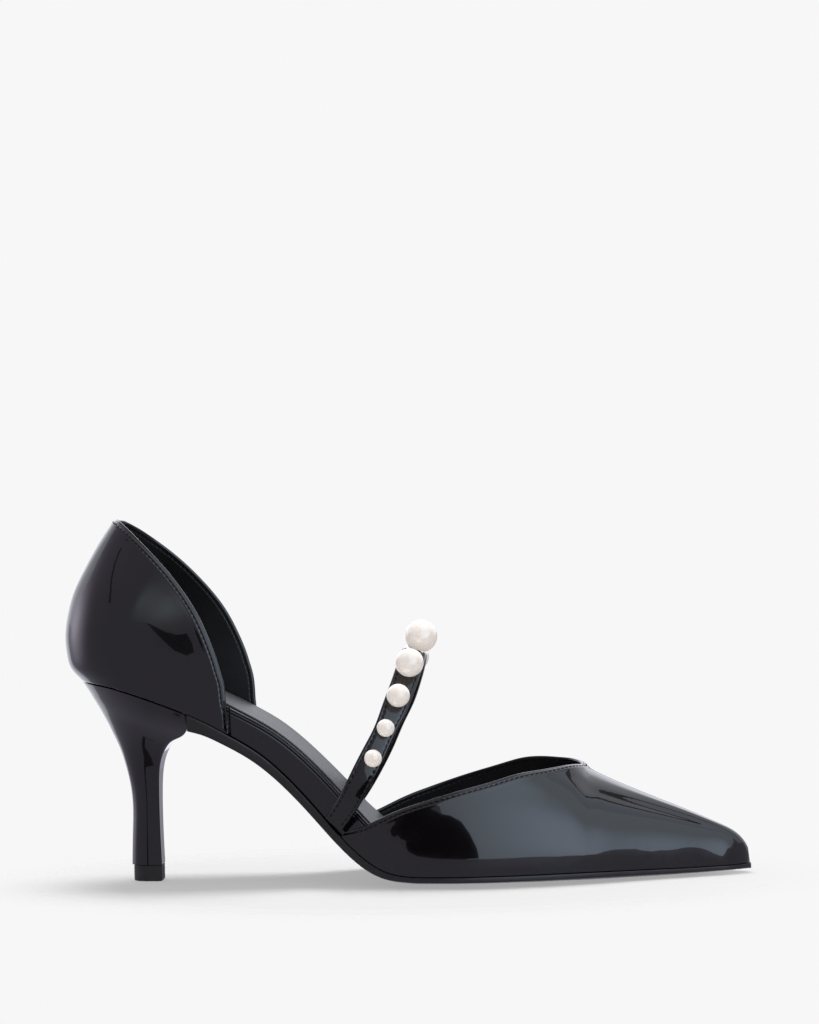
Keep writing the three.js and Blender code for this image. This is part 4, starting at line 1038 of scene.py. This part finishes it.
floor_finish = Finish("floor")
moved = floor_finish.node("ShaderNodeVectorMath", [floor_finish.place, (-0.092, 0.004, 0)], output="Vector",
                          operation="ADD")
squeezed = floor_finish.node("ShaderNodeVectorMath", [moved, (1 / 0.165, 1 / 0.125, 0)], output="Vector",
                             operation="MULTIPLY")
radius = floor_finish.node("ShaderNodeVectorMath", [squeezed], output="Value", operation="LENGTH")
shown = floor_finish.node("ShaderNodeMapRange", {"Value": radius, "From Min": 0.6, "From Max": 1.0, "To Min": 0.62,
                                                 "To Max": 0.0}, interpolation_type="SMOOTHSTEP")
floor_surface = floor_finish.surface(Base_Color=(0.86, 0.86, 0.865, 1), Roughness=0.7, Specular_IOR_Level=0.0,
                                     Alpha=shown)
floor = stage_plane("floor", [(-3, -3, 0), (3, -3, 0), (3, 3, 0), (-3, 3, 0)], floor_surface, False)
floor.visible_glossy = False

black = Finish("black_card").surface(Base_Color=(0, 0, 0, 1), Roughness=1.0, Specular_IOR_Level=0.0)
softbox = glow("softbox", (1.9, 2.25, 2.75), (1.05, 1.2, 1.36), (0.46, -0.3, 0.1), (2.4, 1, 2.1))
stage_plane("softbox", upright(-0.3, [
    (0.14, 0.012), (0.37, 0.007), (0.45, 0.017), (0.51, 0.055), (0.56, 0.115), (0.61, 0.16), (0.8, 0.23), (1.3, 0.6),
    (2.6, 1.8), (2.6, 3.2),
    (0.1, 3.2), (0.1, 0.5), (0.09, 0.19), (0.09, 0.08)]), softbox)
stage_plane("blot_card", upright(-0.058, [
    (0.074, 0.0195), (0.0728, 0.0222), (0.074, 0.0252), (0.0752, 0.0262), (0.0764, 0.0302), (0.0788, 0.0315),
    (0.0805, 0.0345), (0.084, 0.0365), (0.0895, 0.0385), (0.096, 0.0378), (0.102, 0.0348), (0.1055, 0.0335),
    (0.1095, 0.0335), (0.1155, 0.0305), (0.1195, 0.0245), (0.123, 0.0165), (0.124, 0.0108),
    (0.111, 0.0107), (0.1, 0.0108), (0.089, 0.0116), (0.0835, 0.0133), (0.0822, 0.0152), (0.0828, 0.0176),
    (0.0797, 0.0181), (0.0775, 0.0197), (0.0755, 0.0187)]), black)
blob = glow("blob", (0.82, 0.93, 0.98), (0.5, 0.55, 0.6), (-0.001, -0.101, 0.128), (46, 1, 24), (1.0, 0.0))
stage_plane("blob_card", upright(-0.101, [
    (-0.03, 0.18), (0.03, 0.18), (0.03, 0.094), (0.009, 0.094), (0.001, 0.098), (-0.009, 0.11), (-0.03, 0.125)]), blob)
stage_plane("leaf_card", upright(-0.1, [
    (-0.0095, 0.1105), (0.001, 0.0975), (0.0055, 0.0945), (0.0092, 0.0955), (0.0112, 0.088), (0.0118, 0.079),
    (0.009, 0.0755), (0.0045, 0.081), (0.001, 0.089), (-0.005, 0.1005)]), black)
stage_plane("heel_card", upright(-0.1, [
    (-0.033, 0.0), (-0.029, 0.03), (-0.0235, 0.0), (-0.0245, -0.03), (-0.066, -0.136), (-0.285, -0.704),
    (-0.33, -0.704), (-0.085, -0.136), (-0.038, -0.045)]), black)
stage_plane("crease_card", upright(-0.1, [
    (-0.3758, 0.4566), (-0.3575, 0.4269), (-0.3165, 0.3785), (-0.273, 0.3378), (-0.2245, 0.2925), (-0.1479, 0.2178), (-0.1126, 0.1709),
    (-0.1024, 0.1678), (-0.1348, 0.2112), (-0.1961, 0.2734), (-0.2397, 0.3167), (-0.275, 0.3502), (-0.2996, 0.3846), (-0.3071, 0.3993)]), black)
backlight = glow("backlight", (1.2, 1.22, 1.32), (0.9, 0.92, 1.0), (0.3, 1.3, 0.6), (0.5, 1, 0.7))
stage_plane("back_card", upright(1.3, [(-3, 0.2), (3.5, 0.2), (3.5, 2.0), (-3, 2.0)]), backlight)
dim = glow("dim", (0.3, 0.3, 0.34), (0.3, 0.3, 0.34), (0, 0, 0), (1, 1, 1))
stage_plane("low_back_card", upright(1.25, [(0.12, -0.9), (3.5, -0.9), (3.5, 0.12), (0.12, 0.12)]), dim)
stage_plane("rim_card", upright(1.25, [(-1.3, -0.9), (0.0, -0.9), (0.0, 0.2), (-1.3, 0.2)]), backlight)
overhead = glow("overhead", (1.35, 1.38, 1.55), (0.85, 0.95, 1.1), (1.6, 1.1, 1.6), (0.7, 0.9, 1))
stage_plane("top_card", [(0.45, -0.3, 1.6), (4, -0.3, 1.6), (4, 0.43, 1.6), (0.45, 0.43, 1.6)], overhead)
stage_plane("line_card", [(0.6, 0.4, 1.58), (4, 0.4, 1.58), (4, 0.54, 1.58), (0.6, 0.54, 1.58)], black)
stage_plane("top_back_card", [(0.3, 0.52, 1.6), (4, 0.52, 1.6), (4, 2.0, 1.6), (0.3, 2.0, 1.6)], backlight)
side_light = glow("side_light", (1.9, 1.75, 2.1), (0.6, 0.56, 0.68), (-1.6, 0.55, 0.3), (1, 0.85, 0.9), (1.0, 0.0))
stage_plane("side_card", [(-1.6, -1.5, -0.8), (-1.6, 2.2, -0.8), (-1.6, 2.2, 2.0), (-1.6, -1.5, 2.0)], side_light)

key = bpy.data.lights.new("key", "AREA")
key.shape, key.size, key.size_y, key.energy = "RECTANGLE", 0.8, 0.5, 12.5
key_lamp = bpy.data.objects.new("key", key)
scene.collection.objects.link(key_lamp)
key_lamp.location = (0.09, 0.33, 1.25)
key_lamp.rotation_euler = (-0.26, 0, 0)
key_lamp.visible_glossy = False

camera = bpy.data.cameras.new("camera")
camera.lens = 147.72
camera.sensor_fit = "VERTICAL"
camera.sensor_height = 36.0
view = bpy.data.objects.new("camera", camera)
scene.collection.objects.link(view)
scene.camera = view
target = np.array([93, 0, 45]) * MM
azimuth, elevation, tilt = (math.radians(angle) for angle in (3.5, 5.0, -1.0))
reach, focal = 1500 * MM, 4201.7
off_x, off_y = 403.024 - 409.5, 751.204 - 512
stand = np.array([math.sin(azimuth) * math.cos(elevation), -math.cos(azimuth) * math.cos(elevation),
                  math.sin(elevation)])
right = unit(np.cross(-stand, [0, 0, 1]))
ahead = unit(-stand - off_x / focal * right + off_y / focal * np.cross(right, -stand))
right = unit(np.cross(ahead, [0, 0, 1]))
above = np.cross(right, ahead)
right, above = (math.cos(tilt) * right + math.sin(tilt) * above, math.cos(tilt) * above - math.sin(tilt) * right)
pose = np.eye(4)
pose[:3] = np.stack([right, above, -ahead, target + reach * stand], -1)
view.matrix_world = Matrix(pose.tolist())
